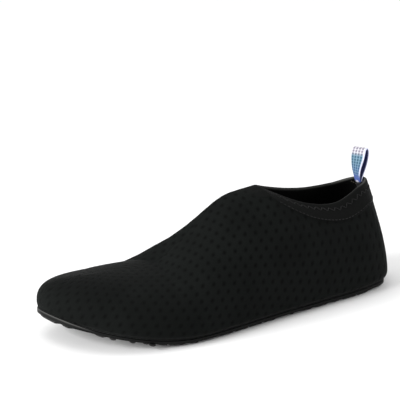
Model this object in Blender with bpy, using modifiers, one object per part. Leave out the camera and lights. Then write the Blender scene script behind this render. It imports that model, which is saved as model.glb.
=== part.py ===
"""Water shoe for the left foot: a thin lugged rubber sole, a stretch fabric upper with a folded
collar hem, an insole and a woven pull loop.

Metres, +Z up. The toe points to -X, the heel to +X, the outer side of the foot lies at -Y and the
inner side at +Y. The sole stands on Z = 0 under the middle of the shoe.
"""
import math

import bmesh
import bpy
import numpy as np

# Overall sizes of the shoe.
LENGTH = 0.250
BALL_WIDTH = 0.0892
HEEL_WIDTH = 0.0624
HEEL_HEIGHT = 0.0697
THROAT_HEIGHT = 0.0789
TOE_BOX_HEIGHT = 0.0400
TOE_SPRING = 0.0141
SPRING_START = 0.68
SPRING_POWER = 1.9
ARCH_RISE = 0.0075

# Upper: wall, widest level above the tread, how far the sole edge hides under it.
WALL = 0.0018
WIDEST_LEVEL = 0.0092
HEEL_WIDEST_RISE = 0.0016
TUCK = 0.0040
TOE_TUCK = 0.0006
HEEL_TUCK = 0.0021
EDGE_STAND = 0.0008
OPENING_HALF_WIDTH = 0.0162
OPENING_HEEL_REACH = 0.0113
THROAT_SHARE = 0.405
HEM_WIDTH = 0.0110
HEM_STEP = 0.0006

# Sole: rubber body under the foot, and the tread that stands below it.
SOLE_BODY = 0.0021
LUG_DEPTH = 0.0015
LUG_ROOT = 0.0012
RIM_LIP = 0.0004
RIM_ROUND = 0.0007
TOE_GUARD = 0.0013
ARCH_BAND = 0.0140

# Tread: hexagon field, round pods, toe bar and the toe strips.
HEX_PITCH = 0.0123
HEX_ROW = 0.0096
HEX_GROOVE = 0.0011
HEX_TILT = math.radians(-2.2)
TREAD_MARGIN = 0.0022
POD_GROOVE = 0.0012
POD_FLOOR = 0.0009
DOME_SINK = 0.0004
BAR_WIDTH = 0.0038
RIM_STEP = 0.0004

# Insole and pull loop.
INSOLE_THICKNESS = 0.0030
INSOLE_ROUND = 0.0008
TAPE_WIDTH = 0.0095
TAPE_THICKNESS = 0.0009
LOOP_HEIGHT = 0.0215
LOOP_OPENING = 0.0064
LOOP_LEG = 0.0100
LOOP_PINCH = 0.62
LOOP_LEAN = 0.0014
LOOP_TWIST = math.radians(27)

# Clearance between pieces that lie on each other.
CLEARANCE = 0.0003

# Plan at the widest level. Columns: share of the length from the heel, shift of the middle line
# to the inner side as a share of the ball width, full width as a share of the local width.
OUTLINE = (
    (0.00, -0.040, 0.000),
    (0.02, -0.030, 0.522),
    (0.05, -0.045, 0.817),
    (0.10, -0.060, 0.950),
    (0.15, -0.070, 1.000),
    (0.20, -0.082, 0.992),
    (0.30, -0.116, 0.912),
    (0.40, -0.135, 0.820),
    (0.50, -0.143, 0.774),
    (0.60, -0.120, 0.818),
    (0.70, -0.049, 0.954),
    (0.75, -0.013, 1.000),
    (0.80, 0.024, 0.999),
    (0.85, 0.055, 0.941),
    (0.90, 0.090, 0.830),
    (0.95, 0.131, 0.643),
    (0.98, 0.165, 0.436),
    (1.00, 0.217, 0.000),
)

# Top edge along the ridge. Columns: share of the length from the heel, height of the edge on the
# outer and on the inner side as shares of the local height, shift of the ridge to the inner side
# as a share of the ball width, fullness of the section (2 is an ellipse).
SECTIONS = (
    (0.100, 1.000, 1.000, 0.000, 1.35),
    (0.160, 0.954, 0.926, 0.004, 1.73),
    (0.220, 0.859, 0.906, 0.012, 2.02),
    (0.300, 0.868, 0.925, 0.034, 2.15),
    (0.405, 1.000, 1.000, 0.106, 2.10),
    (0.500, 1.128, 1.128, 0.158, 1.96),
    (0.600, 1.090, 1.090, 0.132, 2.12),
    (0.700, 1.012, 1.012, 0.084, 2.35),
    (0.800, 0.988, 0.988, 0.056, 2.40),
    (0.900, 0.998, 0.998, 0.039, 2.41),
)
RIDGE_SHARE = 0.80

# Round pods of the tread. Columns: share of the length from the heel, place across from the
# middle of the tread as a share of the ball width, outer radius, inner radius, kind.
PODS = (
    (0.119, -0.058, 0.0178, 0.0146, "cup"),
    (0.238, -0.281, 0.0087, 0.0062, "cup"),
    (0.240, -0.007, 0.0069, 0.0049, "dome"),
    (0.320, -0.113, 0.0069, 0.0049, "dome"),
    (0.416, -0.126, 0.0069, 0.0049, "dome"),
    (0.515, -0.093, 0.0076, 0.0049, "cup"),
    (0.612, 0.016, 0.0115, 0.0097, "disc"),
    (0.672, -0.331, 0.0108, 0.0083, "cup"),
    (0.747, 0.130, 0.0164, 0.0139, "cup"),
)

# Toe bar and toe strips. Columns: share of the length from the heel, place across as a share of
# the ball width.
TOE_BAR = ((0.772, -0.447), (0.815, -0.291), (0.853, -0.077), (0.877, 0.136), (0.897, 0.428))
TOE_STRIPS = (
    ((0.858, -0.312), (0.893, -0.363), 0.0052),
    ((0.884, -0.127), (0.945, -0.180), 0.0059),
    ((0.908, 0.039), (0.980, 0.034), 0.0062),
)
# Textured plate at the inner toe corner. Columns: share of the length from the heel, its outer and
# inner edge as shares of the ball width.
TOE_PLATE = ((0.935, 0.110, 0.300), (0.950, 0.108, 0.430), (0.970, 0.106, 0.430), (0.995, 0.104, 0.350))

# Boundary between the hexagon field and the smooth inner flank. Columns as above.
FIELD_EDGE = (
    (0.273, 0.136), (0.329, 0.027), (0.384, 0.019), (0.440, 0.016), (0.495, 0.039),
    (0.523, 0.097), (0.579, 0.144), (0.606, 0.230), (0.690, 0.315), (0.759, 0.370),
    (0.829, 0.370), (0.884, 0.424),
)

STATIONS_TO_THROAT = 14
STATIONS_TO_TOE = 17
DOME_LEVELS = 6
POD_SIDES = 16
CLEARING_SIDES = 12


def smooth(t):
    """Soft step from 0 to 1."""
    t = np.clip(t, 0.0, 1.0)
    return t * t * (3 - 2 * t)


def curve(x, xs, ys):
    """Smooth curve through the table's points, with slopes taken from their neighbours."""
    xs = np.asarray(xs, float)
    ys = np.asarray(ys, float)
    slope = np.gradient(ys, xs)
    i = np.clip(np.searchsorted(xs, x) - 1, 0, len(xs) - 2)
    step = xs[i + 1] - xs[i]
    t = np.clip((x - xs[i]) / step, 0.0, 1.0)
    start = (2 * t**3 - 3 * t**2 + 1) * ys[i] + (t**3 - 2 * t**2 + t) * step * slope[i]
    end = (3 * t**2 - 2 * t**3) * ys[i + 1] + (t**3 - t**2) * step * slope[i + 1]
    return start + end


def column(share, index):
    """One column of SECTIONS at a share of the length."""
    rows = np.array(SECTIONS)
    return curve(share, rows[:, 0], rows[:, index])


def raw_outline(turn):
    """Plan at the widest level. turn runs 0 at the heel, pi at the toe, by the outer side."""
    rows = np.array(OUTLINE)
    angles = np.arccos(1 - 2 * rows[:, 0])
    local = HEEL_WIDTH + (BALL_WIDTH - HEEL_WIDTH) * smooth((rows[:, 0] - 0.2) / 0.5)
    shift = rows[:, 1] * BALL_WIDTH
    width = rows[:, 2] * local
    around = np.concatenate([-angles[3:0:-1], angles, 2 * np.pi - angles[-2:-5:-1]])
    shifts = np.concatenate([shift[3:0:-1], shift, shift[-2:-5:-1]])
    widths = np.concatenate([-width[3:0:-1], width, -width[-2:-5:-1]])
    fold = np.where(turn > np.pi, 2 * np.pi - turn, turn)
    side = np.where(turn > np.pi, 1.0, -1.0)
    share = (1 - np.cos(turn)) / 2
    y = curve(fold, around, shifts) + side * curve(fold, around, widths) / 2
    return LENGTH * (0.5 - share), y, share


def outline(turn):
    """The plan, centred between its outermost points."""
    x, y, share = raw_outline(turn)
    _, all_y, _ = raw_outline(np.linspace(0, 2 * np.pi, 721))
    return x, y - (all_y.max() + all_y.min()) / 2, share


def middle_line(share):
    """Y of the middle between the outer and the inner edge, at a share of the length."""
    turn = np.arccos(1 - 2 * share)
    _, outer, _ = outline(turn)
    _, inner, _ = outline(2 * np.pi - turn)
    return (outer + inner) / 2


def spring(x):
    """How far the tread has risen off the floor towards the toe."""
    share = 0.5 - x / LENGTH
    past = np.clip((share - SPRING_START) / (1 - SPRING_START), 0, None)
    return TOE_SPRING * past**SPRING_POWER


def arch(turn, share):
    """How far the inner edge of the sole rises at the arch."""
    lift = smooth((share - 0.24) / 0.16) * smooth((0.64 - share) / 0.18)
    return np.where(turn > np.pi, ARCH_RISE * lift, 0.0)


def tuck(share):
    """How far the sole edge lies inside the widest level."""
    toe = smooth((share - 0.95) / 0.04)
    heel = 1 - smooth((share - 0.01) / 0.09)
    return TUCK + (TOE_TUCK - TUCK) * toe + (HEEL_TUCK - TUCK) * heel


def rays(turn, shifted):
    """From each edge point a level ray to the middle line, or to the ridge when shifted."""
    x, y, share = outline(turn)
    along = 0.5 + RIDGE_SHARE * (share - 0.5)
    end_x = LENGTH * (0.5 - along)
    end_y = middle_line(along)
    if shifted:
        end_y = end_y + column(along, 3) * BALL_WIDTH
    reach = np.hypot(end_x - x, end_y - y)
    return x, y, share, along, reach, (end_x - x) / reach, (end_y - y) / reach


def rim_top(turn, share, x):
    """Level of the ledge that the upper stands on."""
    guard = TOE_GUARD * smooth((share - 0.95) / 0.04)
    return LUG_DEPTH + SOLE_BODY + guard + arch(turn, share) + spring(x)


def upper_section(turn, fine):
    """Sections of the upper's outer face, as inset along the ray and height, bottom to top.

    A short stand on the sole, a roll out to the widest level, then a superellipse up to the
    collar edge or to the ridge.
    """
    x, y, share, along, reach, ray_x, ray_y = rays(turn, True)
    inset = tuck(share)
    edge_x = x + ray_x * inset
    foot = rim_top(turn, share, edge_x) + CLEARANCE
    lift = spring(x) + 0.6 * arch(turn, share)
    widest = WIDEST_LEVEL + lift + HEEL_WIDEST_RISE * np.clip(1 - share / 0.25, 0, None)
    knots = (0.1, THROAT_SHARE, 0.7, 0.9)
    heights = (HEEL_HEIGHT, THROAT_HEIGHT, TOE_BOX_HEIGHT, TOE_BOX_HEIGHT)
    local = np.interp(along, knots, heights)
    side = np.where(turn > np.pi, column(along, 2), column(along, 1))
    ridge = (column(along, 1) + column(along, 2)) / 2
    top = local * np.where(along > THROAT_SHARE - 1e-6, ridge, side)
    fullness = column(along, 4)

    q = np.clip((along - 0.1) / (THROAT_SHARE - 0.1), 0, 1)
    half = OPENING_HEEL_REACH + (OPENING_HALF_WIDTH - OPENING_HEEL_REACH) * np.clip(q / 0.25, 0, 1)
    opening = np.where(along < THROAT_SHARE - 1e-6, half * np.sqrt(1 - q * q), 0.0)
    crown = widest + (top - widest) / (1 - (opening / reach) ** fullness) ** (1 / fullness)
    stop = np.arcsin(np.clip((top - widest) / (crown - widest), 0, 1) ** (fullness / 2))

    roll = np.linspace(math.radians(60), 0, 5)[None, :-1]
    stand = foot + EDGE_STAND
    roll_d = inset[:, None] * (1 - np.cos(roll)) / (1 - math.cos(math.radians(60)))
    roll_z = widest[:, None] - (widest - stand)[:, None] * np.sin(roll) / math.sin(math.radians(60))
    angle = stop[:, None] * np.linspace(0, 1, fine)[None, :]
    power = 2 / fullness[:, None]
    dome_d = reach[:, None] * (1 - np.cos(angle) ** power)
    dome_z = widest[:, None] + (crown - widest)[:, None] * np.sin(angle) ** power
    d = np.concatenate([inset[:, None], roll_d, dome_d], axis=1)
    z = np.concatenate([foot[:, None], roll_z, dome_z], axis=1)
    return d, z, along


def hem_width(along):
    """Width of the folded hem, which closes in a point on the ridge before the throat."""
    past = np.clip((along - THROAT_SHARE) * LENGTH / HEM_WIDTH, 0, 1)
    return HEM_WIDTH * np.maximum(np.sqrt(1 - past**2), 0.25), 1 - smooth(past)


def station_turns():
    """Station angles round the shoe, with one station exactly at the throat on each side."""
    throat = math.acos(1 - 2 * (0.5 + (THROAT_SHARE - 0.5) / RIDGE_SHARE))
    outer = np.concatenate([
        np.linspace(0, throat, STATIONS_TO_THROAT)[:-1],
        np.linspace(throat, math.pi, STATIONS_TO_TOE),
    ])
    return np.concatenate([outer, 2 * math.pi - outer[-2:0:-1]])


def upper_grid(turn):
    """Points of the upper's outer face, one row per level, with the hem as a step in it."""
    d, z, along = upper_section(turn, 60)
    length = np.concatenate([np.zeros((len(turn), 1)),
                             np.cumsum(np.hypot(np.diff(d), np.diff(z)), axis=1)], axis=1)
    hem, strength = hem_width(along)
    rows = []
    for k in range(len(turn)):
        start = length[k, 5]
        under = length[k, -1] - hem[k]
        marks = [0.0, length[k, 1], length[k, 3], start]
        marks += list(start + (under - start) * np.arange(1, DOME_LEVELS + 1) / DOME_LEVELS)
        marks += [under + HEM_STEP, (under + length[k, -1]) / 2, length[k, -1]]
        here_d = np.interp(marks, length[k], d[k])
        here_z = np.interp(marks, length[k], z[k])
        slope_d = np.gradient(here_d, marks)
        slope_z = np.gradient(here_z, marks)
        raised = np.zeros(len(marks))
        raised[-3:] = HEM_STEP * strength[k]
        size = np.hypot(slope_d, slope_z)
        aside = raised * slope_z / size
        if along[k] > THROAT_SHARE - 1e-6:
            aside[-1] = 0.0
            slope_d[-1] = size[-1]
        rows.append(np.stack([here_d - aside, here_z + raised * slope_d / size], axis=1))
    rows = np.array(rows)
    x, y, _, _, _, ray_x, ray_y = rays(turn, True)
    points = np.stack([x[:, None] + ray_x[:, None] * rows[:, :, 0],
                       y[:, None] + ray_y[:, None] * rows[:, :, 0],
                       rows[:, :, 1]], axis=2)
    return points.transpose(1, 0, 2)


def ring_faces(rows, count):
    """Quads between neighbouring closed rings of count points."""
    faces = []
    for j in range(rows - 1):
        for k in range(count):
            a = j * count + k
            b = j * count + (k + 1) % count
            faces.append((a, b, b + count, a + count))
    return faces


def split_faces(rows, count, mirrored):
    """The same quads halved along one diagonal, so that pieces lying on each other match."""
    faces = []
    for a, b, c, d in ring_faces(rows, count):
        if mirrored:
            faces += [(a, b, d), (b, c, d)]
        else:
            faces += [(a, b, c), (a, c, d)]
    return faces


def new_mesh_object(name, vertices, faces, weld=1e-6):
    """Object from points and faces, welded, with its faces turned outwards."""
    mesh = bpy.data.meshes.new(name)
    mesh.from_pydata([tuple(map(float, v)) for v in vertices], [], faces)
    work = bmesh.new()
    work.from_mesh(mesh)
    bmesh.ops.remove_doubles(work, verts=work.verts, dist=weld)
    bmesh.ops.dissolve_degenerate(work, dist=weld, edges=work.edges)
    bmesh.ops.recalc_face_normals(work, faces=work.faces)
    work.to_mesh(mesh)
    work.free()
    return bpy.data.objects.new(name, mesh)


def tread_mesh(shapes):
    """One mesh object from loose tread solids, each a list of points and a list of faces."""
    vertices = []
    faces = []
    for points, polygons in shapes:
        first = len(vertices)
        for px, py, depth in points:
            vertices.append((px, py, depth + float(spring(px))))
        faces += [tuple(first + i for i in polygon) for polygon in polygons]
    mesh = bpy.data.meshes.new("tread")
    mesh.from_pydata(vertices, [], faces)
    work = bmesh.new()
    work.from_mesh(mesh)
    bmesh.ops.triangulate(work, faces=work.faces)
    bmesh.ops.recalc_face_normals(work, faces=work.faces)
    work.to_mesh(mesh)
    work.free()
    return bpy.data.objects.new("tread", mesh)


def turned(centre, profile, sides, stretch=1.0, turn=0.0):
    """A turned tread solid. profile holds (radius, depth) from the root's rim to the face's."""
    points = []
    for radius, depth in profile:
        for a in turn + 2 * np.pi * np.arange(sides) / sides:
            points.append((centre[0] + radius * math.cos(a),
                           centre[1] + radius * stretch * math.sin(a), depth))
    last = len(points)
    faces = ring_faces(len(profile), sides)
    faces += [tuple(range(sides)), tuple(range(last - sides, last))]
    return points, faces


def strip(sections):
    """A long tread solid of box section. sections holds (left point, right point) pairs in plan."""
    root = LUG_DEPTH + LUG_ROOT
    points = []
    for left, right in sections:
        points += [(*left, root), (*right, root), (*right, 0.0), (*left, 0.0)]
    faces = [(3, 2, 1, 0)]
    for j in range(len(sections) - 1):
        for k in range(4):
            a = 4 * j + k
            b = 4 * j + (k + 1) % 4
            faces.append((a, b, b + 4, a + 4))
    end = 4 * (len(sections) - 1)
    faces.append((end, end + 1, end + 2, end + 3))
    return points, faces


def plan_point(share, across):
    """Plan place of a tread feature from its shares of the length and of the ball width."""
    return LENGTH * (0.5 - share), across * BALL_WIDTH


def bar(table, width, count, rounded):
    """A bar of one width along a smooth curve through the table's places."""
    places = np.array([plan_point(*row) for row in table])
    knots = np.linspace(0, 1, len(places))
    t = np.linspace(0, 1, count)
    x = curve(t, knots, places[:, 0])
    y = curve(t, knots, places[:, 1])
    along = np.stack([np.gradient(x), np.gradient(y)], axis=1)
    along /= np.linalg.norm(along, axis=1)[:, None]
    half = np.full(count, width / 2)
    if rounded:
        half[0] *= 0.55
        x[0] -= along[0, 0] * width * 0.2
        y[0] -= along[0, 1] * width * 0.2
    left = np.stack([x - along[:, 1] * half, y + along[:, 0] * half], axis=1)
    right = np.stack([x + along[:, 1] * half, y - along[:, 0] * half], axis=1)
    return strip([(tuple(map(float, a)), tuple(map(float, b))) for a, b in zip(left, right)])


def pod_profile(outer, inner, kind):
    """Section of a pod: a ring that meets the floor, round a sunk cup, a dome or a flat disc."""
    root = LUG_DEPTH + LUG_ROOT
    ring = [(outer, root), (outer, 0.0)]
    if kind == "cup":
        return ring + [(inner, 0.0), (inner - 0.4 * (outer - inner), POD_FLOOR)]
    if kind == "dome":
        return ring + [((outer + inner) / 2, 0.0), (inner, POD_FLOOR), (0.6 * inner, DOME_SINK)]
    return ring + [(inner, 0.0), (inner - 0.3 * (outer - inner), DOME_SINK)]


def hexagons():
    """The field of hexagon lugs, before it is cut to its outline and round the pods."""
    root = LUG_DEPTH + LUG_ROOT
    across = HEX_PITCH - HEX_GROOVE
    point = HEX_ROW * 4 / 3 - HEX_GROOVE * 1.155
    radius = across / math.sqrt(3)
    profile = [(radius, root), (radius, 0.0)]
    wide_field = field_outline(-HEX_PITCH / 5)
    pods = [(*plan_point(s, a), outer) for s, a, outer, _, _ in PODS]
    columns = int(LENGTH / HEX_PITCH / 2) + 2
    lines = int(BALL_WIDTH / HEX_ROW / 2) + 2
    shapes = []
    for row in range(-lines, lines + 1):
        for step in range(-columns, columns + 1):
            flat_x = (step + 0.5 * (row % 2)) * HEX_PITCH
            flat_y = row * HEX_ROW
            x = flat_x * math.cos(HEX_TILT) - flat_y * math.sin(HEX_TILT)
            y = flat_x * math.sin(HEX_TILT) + flat_y * math.cos(HEX_TILT)
            covered = any(math.hypot(x - px, y - py) < r + HEX_PITCH / 8 for px, py, r in pods)
            if inside(x, y, wide_field) and not covered:
                shapes.append(turned((x, y), profile, 6, point / 2 / radius, math.pi / 2))
    return shapes


def inside(x, y, polygon):
    """Whether a plan point lies inside a closed polygon, by counting the edges on one side."""
    crossings = 0
    for (x0, y0), (x1, y1) in zip(polygon, polygon[1:] + polygon[:1]):
        if (y0 > y) != (y1 > y) and x < x0 + (y - y0) * (x1 - x0) / (y1 - y0):
            crossings += 1
    return crossings % 2 == 1


def inset_outline(turn, inset):
    """Plan points at an inset from the widest level, along the sole's rays."""
    x, y, _, _, _, ray_x, ray_y = rays(turn, False)
    return np.stack([x + ray_x * inset, y + ray_y * inset], axis=1)


def prism(name, points, low, high):
    """Upright prism over a closed plan outline, used as a cutter."""
    count = len(points)
    vertices = [(*p, low) for p in points] + [(*p, high) for p in points]
    faces = [tuple(range(count)), tuple(range(count, 2 * count))] + ring_faces(2, count)
    return new_mesh_object(name, vertices, faces)


def field_outline(inwards=0.0):
    """Plan outline of the hexagon field: round the heel and the outer side, back by the flank."""
    back = np.linspace(math.acos(1 - 2 * 0.25), 0, 6)[:-1]
    front = np.linspace(0, math.acos(1 - 2 * 0.80), 16)
    margin = TREAD_MARGIN - RIM_LIP + inwards
    heel = inset_outline(2 * math.pi - back, tuck((1 - np.cos(back)) / 2) + margin)
    outer = inset_outline(front, tuck((1 - np.cos(front)) / 2) + margin)
    bar_edge = []
    for share, across in TOE_BAR[1:]:
        x, y = plan_point(share, across)
        bar_edge.append((x + BAR_WIDTH / 2 + POD_GROOVE, y))
    flank = [plan_point(*row) for row in FIELD_EDGE[-2::-1]]
    return [tuple(map(float, p)) for p in (*heel, *outer, *bar_edge, *flank)]


def tread_outline():
    """Plan outline that every tread piece stays inside."""
    turn = station_turns()
    _, _, share = outline(turn)
    inset = tuck(share) - RIM_LIP + TREAD_MARGIN
    return [tuple(map(float, p)) for p in inset_outline(turn, inset)]


def boolean(target, operation, tool):
    """Add an exact Boolean to an object."""
    modifier = target.modifiers.new(operation.lower(), "BOOLEAN")
    modifier.operation = operation
    modifier.solver = "EXACT"
    modifier.object = tool


def floor_levels(turn):
    """Insets and levels of the sole's underside, rim, ledge and floor along each ray."""
    x, y, share, _, reach, ray_x, ray_y = rays(turn, False)
    edge = tuck(share) - RIM_LIP
    ledge = edge + RIM_LIP + WALL + CLEARANCE
    rise = arch(turn, share)

    def underside(inset):
        fade = 1 - smooth((inset - edge) / ARCH_BAND)
        return LUG_DEPTH + spring(x + ray_x * inset) + rise * fade

    band = [edge + ARCH_BAND * part for part in (0.5, 1.0)]
    return edge, ledge, band, reach, underside


def place(turn, levels):
    """Points of ray levels, each an (inset, height) pair of arrays, one closed ring per level."""
    x, y, _, _, _, ray_x, ray_y = rays(turn, False)
    rings = [np.stack([x + ray_x * d, y + ray_y * d, z], axis=1) for d, z in levels]
    return np.concatenate(rings)


def build_outsole(parts, cutters):
    """Rubber outsole: a thin body with rim, arch flank and toe spring, and the tread under it."""
    turn = station_turns()
    _, _, share = outline(turn)
    edge, ledge, band, reach, underside = floor_levels(turn)
    x, _, _, _, _, ray_x, _ = rays(turn, False)
    top = rim_top(turn, share, x + ray_x * tuck(share))
    levels = [(reach, underside(reach))]
    levels += [(d, underside(d)) for d in reversed(band)]
    levels += [(edge + RIM_ROUND, underside(edge + RIM_ROUND)), (edge, underside(edge) + RIM_ROUND),
               (edge, top), (ledge, top)]
    floor = ledge + RIM_STEP
    levels += [(floor, underside(floor) + SOLE_BODY)]
    levels += [(d, underside(d) + SOLE_BODY) for d in band]
    levels += [(reach, underside(reach) + SOLE_BODY)]
    faces = split_faces(len(levels), len(turn), False)
    body = new_mesh_object("outsole", place(turn, levels), faces)
    parts.objects.link(body)

    field = tread_mesh(hexagons())
    field_area = prism("field_area", field_outline(), -HEEL_HEIGHT, HEEL_HEIGHT)
    pods = [turned(plan_point(s, a), pod_profile(outer, inner, kind), POD_SIDES)
            for s, a, outer, inner, kind in PODS]
    deep = 4 * LUG_DEPTH
    clear = [turned(plan_point(s, a), [(outer + POD_GROOVE, deep), (outer + POD_GROOVE, -deep)],
                    CLEARING_SIDES) for s, a, outer, _, _ in PODS]
    clearing = tread_mesh(clear)
    pieces = pods + [bar(TOE_BAR, BAR_WIDTH, 12, False)]
    pieces += [bar((start, end), width, 6, True) for start, end, width in TOE_STRIPS]
    plate = [(plan_point(s, a), plan_point(s, b)) for s, a, b in TOE_PLATE]
    pieces.append(strip(plate))
    rest = tread_mesh(pieces)
    rest_area = prism("tread_area", tread_outline(), -HEEL_HEIGHT, HEEL_HEIGHT)
    for tool in (field, field_area, clearing, rest, rest_area):
        cutters.objects.link(tool)
        tool.hide_render = True
        tool.display_type = "WIRE"
    boolean(field, "INTERSECT", field_area)
    boolean(field, "DIFFERENCE", clearing)
    boolean(rest, "INTERSECT", rest_area)
    boolean(rest, "UNION", field)
    boolean(body, "UNION", rest)
    return body


def build_upper(parts):
    """Stretch fabric upper, open at the collar and underneath, with the hem as a step."""
    turn = station_turns()
    grid = upper_grid(turn)
    upper = new_mesh_object("upper", grid.reshape(-1, 3), ring_faces(len(grid), len(turn)))
    parts.objects.link(upper)
    wall = upper.modifiers.new("wall", "SOLIDIFY")
    wall.thickness = WALL
    wall.offset = -1
    wall.use_even_offset = True
    return upper


def build_insole(parts):
    """Foam insole that follows the sole's floor inside the upper."""
    turn = station_turns()
    _, ledge, band, reach, underside = floor_levels(turn)
    start = ledge + RIM_STEP + CLEARANCE
    low = SOLE_BODY + CLEARANCE
    high = low + INSOLE_THICKNESS
    levels = [(reach, underside(reach) + low)]
    levels += [(d, underside(d) + low) for d in reversed(band)]
    levels += [(start, underside(start) + low), (start, underside(start) + high - INSOLE_ROUND),
               (start + INSOLE_ROUND, underside(start + INSOLE_ROUND) + high)]
    levels += [(d, underside(d) + high) for d in band]
    levels += [(reach, underside(reach) + high)]
    faces = split_faces(len(levels), len(turn), True)
    insole = new_mesh_object("insole", place(turn, levels), faces)
    parts.objects.link(insole)
    return insole


def collar_bend(half):
    """How far the inside of the collar has come forward at half a tape's width from its middle."""
    bends = []
    for turn in (station_turns()[:5], station_turns()[[0, -1, -2, -3, -4]]):
        d, _, _ = upper_section(turn, 60)
        x, y, _, _, reach, ray_x, ray_y = rays(turn, True)
        inner = d[:, -1] + WALL
        edge_x = x + ray_x * inner
        edge_y = y + ray_y * inner
        bends.append(np.interp(half, np.abs(edge_y - edge_y[0]), edge_x[0] - edge_x))
    return float(max(bends))


def loop_path():
    """Middle line of the tape: up the inside of the heel, round the drop, down beside itself.

    Returns its points, and for each the half width of the tape and the turn of its face.
    """
    d, z, _ = upper_section(np.array([0.0]), 60)
    x, y, _, _, _, ray_x, ray_y = rays(np.array([0.0]), True)
    length = np.concatenate([[0.0], np.cumsum(np.hypot(np.diff(d[0]), np.diff(z[0])))])
    marks = length[-1] - LOOP_LEG * np.array([1.0, 0.66, 0.33, 0.0])
    leg_d = np.interp(marks, length, d[0])
    leg_z = np.interp(marks, length, z[0])
    lean = math.atan2(leg_d[-1] - leg_d[0], leg_z[-1] - leg_z[0])
    away = WALL + CLEARANCE + collar_bend(TAPE_WIDTH * LOOP_PINCH / 2) + TAPE_THICKNESS / 2
    rear_x = x[0] + ray_x[0] * leg_d - away * math.cos(lean)
    rear_z = leg_z - away * math.sin(lean)
    pair = TAPE_THICKNESS + CLEARANCE
    middle = float(y[0] + ray_y[0] * leg_d[-1])
    around = np.linspace(0, math.pi, 19)[1:-1]
    rise = np.sin(around)
    apart = pair / 2 * np.cos(around) + LOOP_OPENING * np.sin(around) * np.cos(around)
    twist = LOOP_TWIST * smooth(rise / 0.8)
    drop_x = rear_x[-1] - pair / 2 + LOOP_LEAN * smooth(rise) + apart * np.cos(twist)
    drop_y = middle + apart * np.sin(twist)
    drop_z = rear_z[-1] + LOOP_HEIGHT * rise
    pinch = LOOP_PINCH + (1 - LOOP_PINCH) * smooth(rise / 0.9)
    legs = np.full(len(marks), middle)
    path = np.stack([np.concatenate([rear_x, drop_x, (rear_x - pair)[::-1]]),
                     np.concatenate([legs, drop_y, legs]),
                     np.concatenate([rear_z, drop_z, rear_z[::-1]])], axis=1)
    narrow = np.full(len(marks), LOOP_PINCH)
    half = TAPE_WIDTH / 2 * np.concatenate([narrow, pinch, narrow])
    face = np.concatenate([0 * marks, twist, 0 * marks])
    return path, half, face


def build_loop(parts):
    """Woven tape loop, sewn inside the back of the collar."""
    path, half, face = loop_path()
    count = len(path)
    across = np.stack([-np.sin(face), np.cos(face), 0 * face], axis=1) * half[:, None]
    vertices = np.concatenate([path - across, path + across])
    faces = [(k, k + 1, count + k + 1, count + k) for k in range(count - 1)]
    loop = new_mesh_object("pull_loop", vertices, faces)
    parts.objects.link(loop)
    tape = loop.modifiers.new("tape", "SOLIDIFY")
    tape.thickness = TAPE_THICKNESS
    tape.offset = 0
    return loop


def material(name, color, roughness):
    """Plain material of one colour."""
    made = bpy.data.materials.new(name)
    made.use_nodes = True
    shader = made.node_tree.nodes["Principled BSDF"]
    shader.inputs["Base Color"].default_value = (*color, 1.0)
    shader.inputs["Roughness"].default_value = roughness
    shader.inputs["Metallic"].default_value = 0.0
    return made


def main():
    """Clear the scene and build the four pieces of the shoe."""
    for old in list(bpy.data.objects):
        bpy.data.objects.remove(old, do_unlink=True)
    parts = bpy.data.collections.new("water_shoe")
    cutters = bpy.data.collections.new("cutters")
    bpy.context.scene.collection.children.link(parts)
    bpy.context.scene.collection.children.link(cutters)

    outsole = build_outsole(parts, cutters)
    upper = build_upper(parts)
    insole = build_insole(parts)
    loop = build_loop(parts)

    outsole.data.materials.append(material("black_rubber", (0.045, 0.045, 0.045), 0.55))
    upper.data.materials.append(material("black_knit", (0.010, 0.011, 0.011), 0.85))
    insole.data.materials.append(material("grey_foam", (0.030, 0.030, 0.032), 0.90))
    loop.data.materials.append(material("blue_tape", (0.25, 0.42, 0.55), 0.75))


main()
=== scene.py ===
# %% [markdown]
# # A water shoe, surface by surface
#
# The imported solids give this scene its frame: an outsole, a hollow upper, an insole and a pull
# loop, all in metres, with the toe at -X, the outer side of the left foot at -Y and the floor at
# Z = 0. Everything below is built around them, at the same sizes. Each step first says what the
# piece is on the real shoe, and then why it is made the way it is.

import math

import bpy
import numpy as np
from mathutils import Matrix


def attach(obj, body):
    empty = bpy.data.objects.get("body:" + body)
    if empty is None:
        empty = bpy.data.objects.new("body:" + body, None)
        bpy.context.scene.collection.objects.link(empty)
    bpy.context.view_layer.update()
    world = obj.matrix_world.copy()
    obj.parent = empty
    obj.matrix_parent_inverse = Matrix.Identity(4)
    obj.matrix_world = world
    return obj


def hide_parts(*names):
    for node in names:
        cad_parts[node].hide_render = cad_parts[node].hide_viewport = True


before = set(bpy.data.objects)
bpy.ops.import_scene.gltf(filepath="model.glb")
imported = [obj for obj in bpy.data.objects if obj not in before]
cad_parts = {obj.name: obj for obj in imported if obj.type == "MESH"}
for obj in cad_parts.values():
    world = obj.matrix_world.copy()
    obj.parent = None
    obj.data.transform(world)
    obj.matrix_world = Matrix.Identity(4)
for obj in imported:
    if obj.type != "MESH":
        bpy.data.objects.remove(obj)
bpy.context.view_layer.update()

# %% [markdown]
# ## The last
#
# A shoemaker works over a last, a solid foot form. Both the sole's edge and the upper's sections
# come from it, so its few sizes and two short tables are given once, here, and every surface
# reads them. The plan is a smooth closed curve whose width is a share of a local width; the
# sections are superellipses that rise from the widest level to the collar edge or to the ridge
# over the instep.

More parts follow.
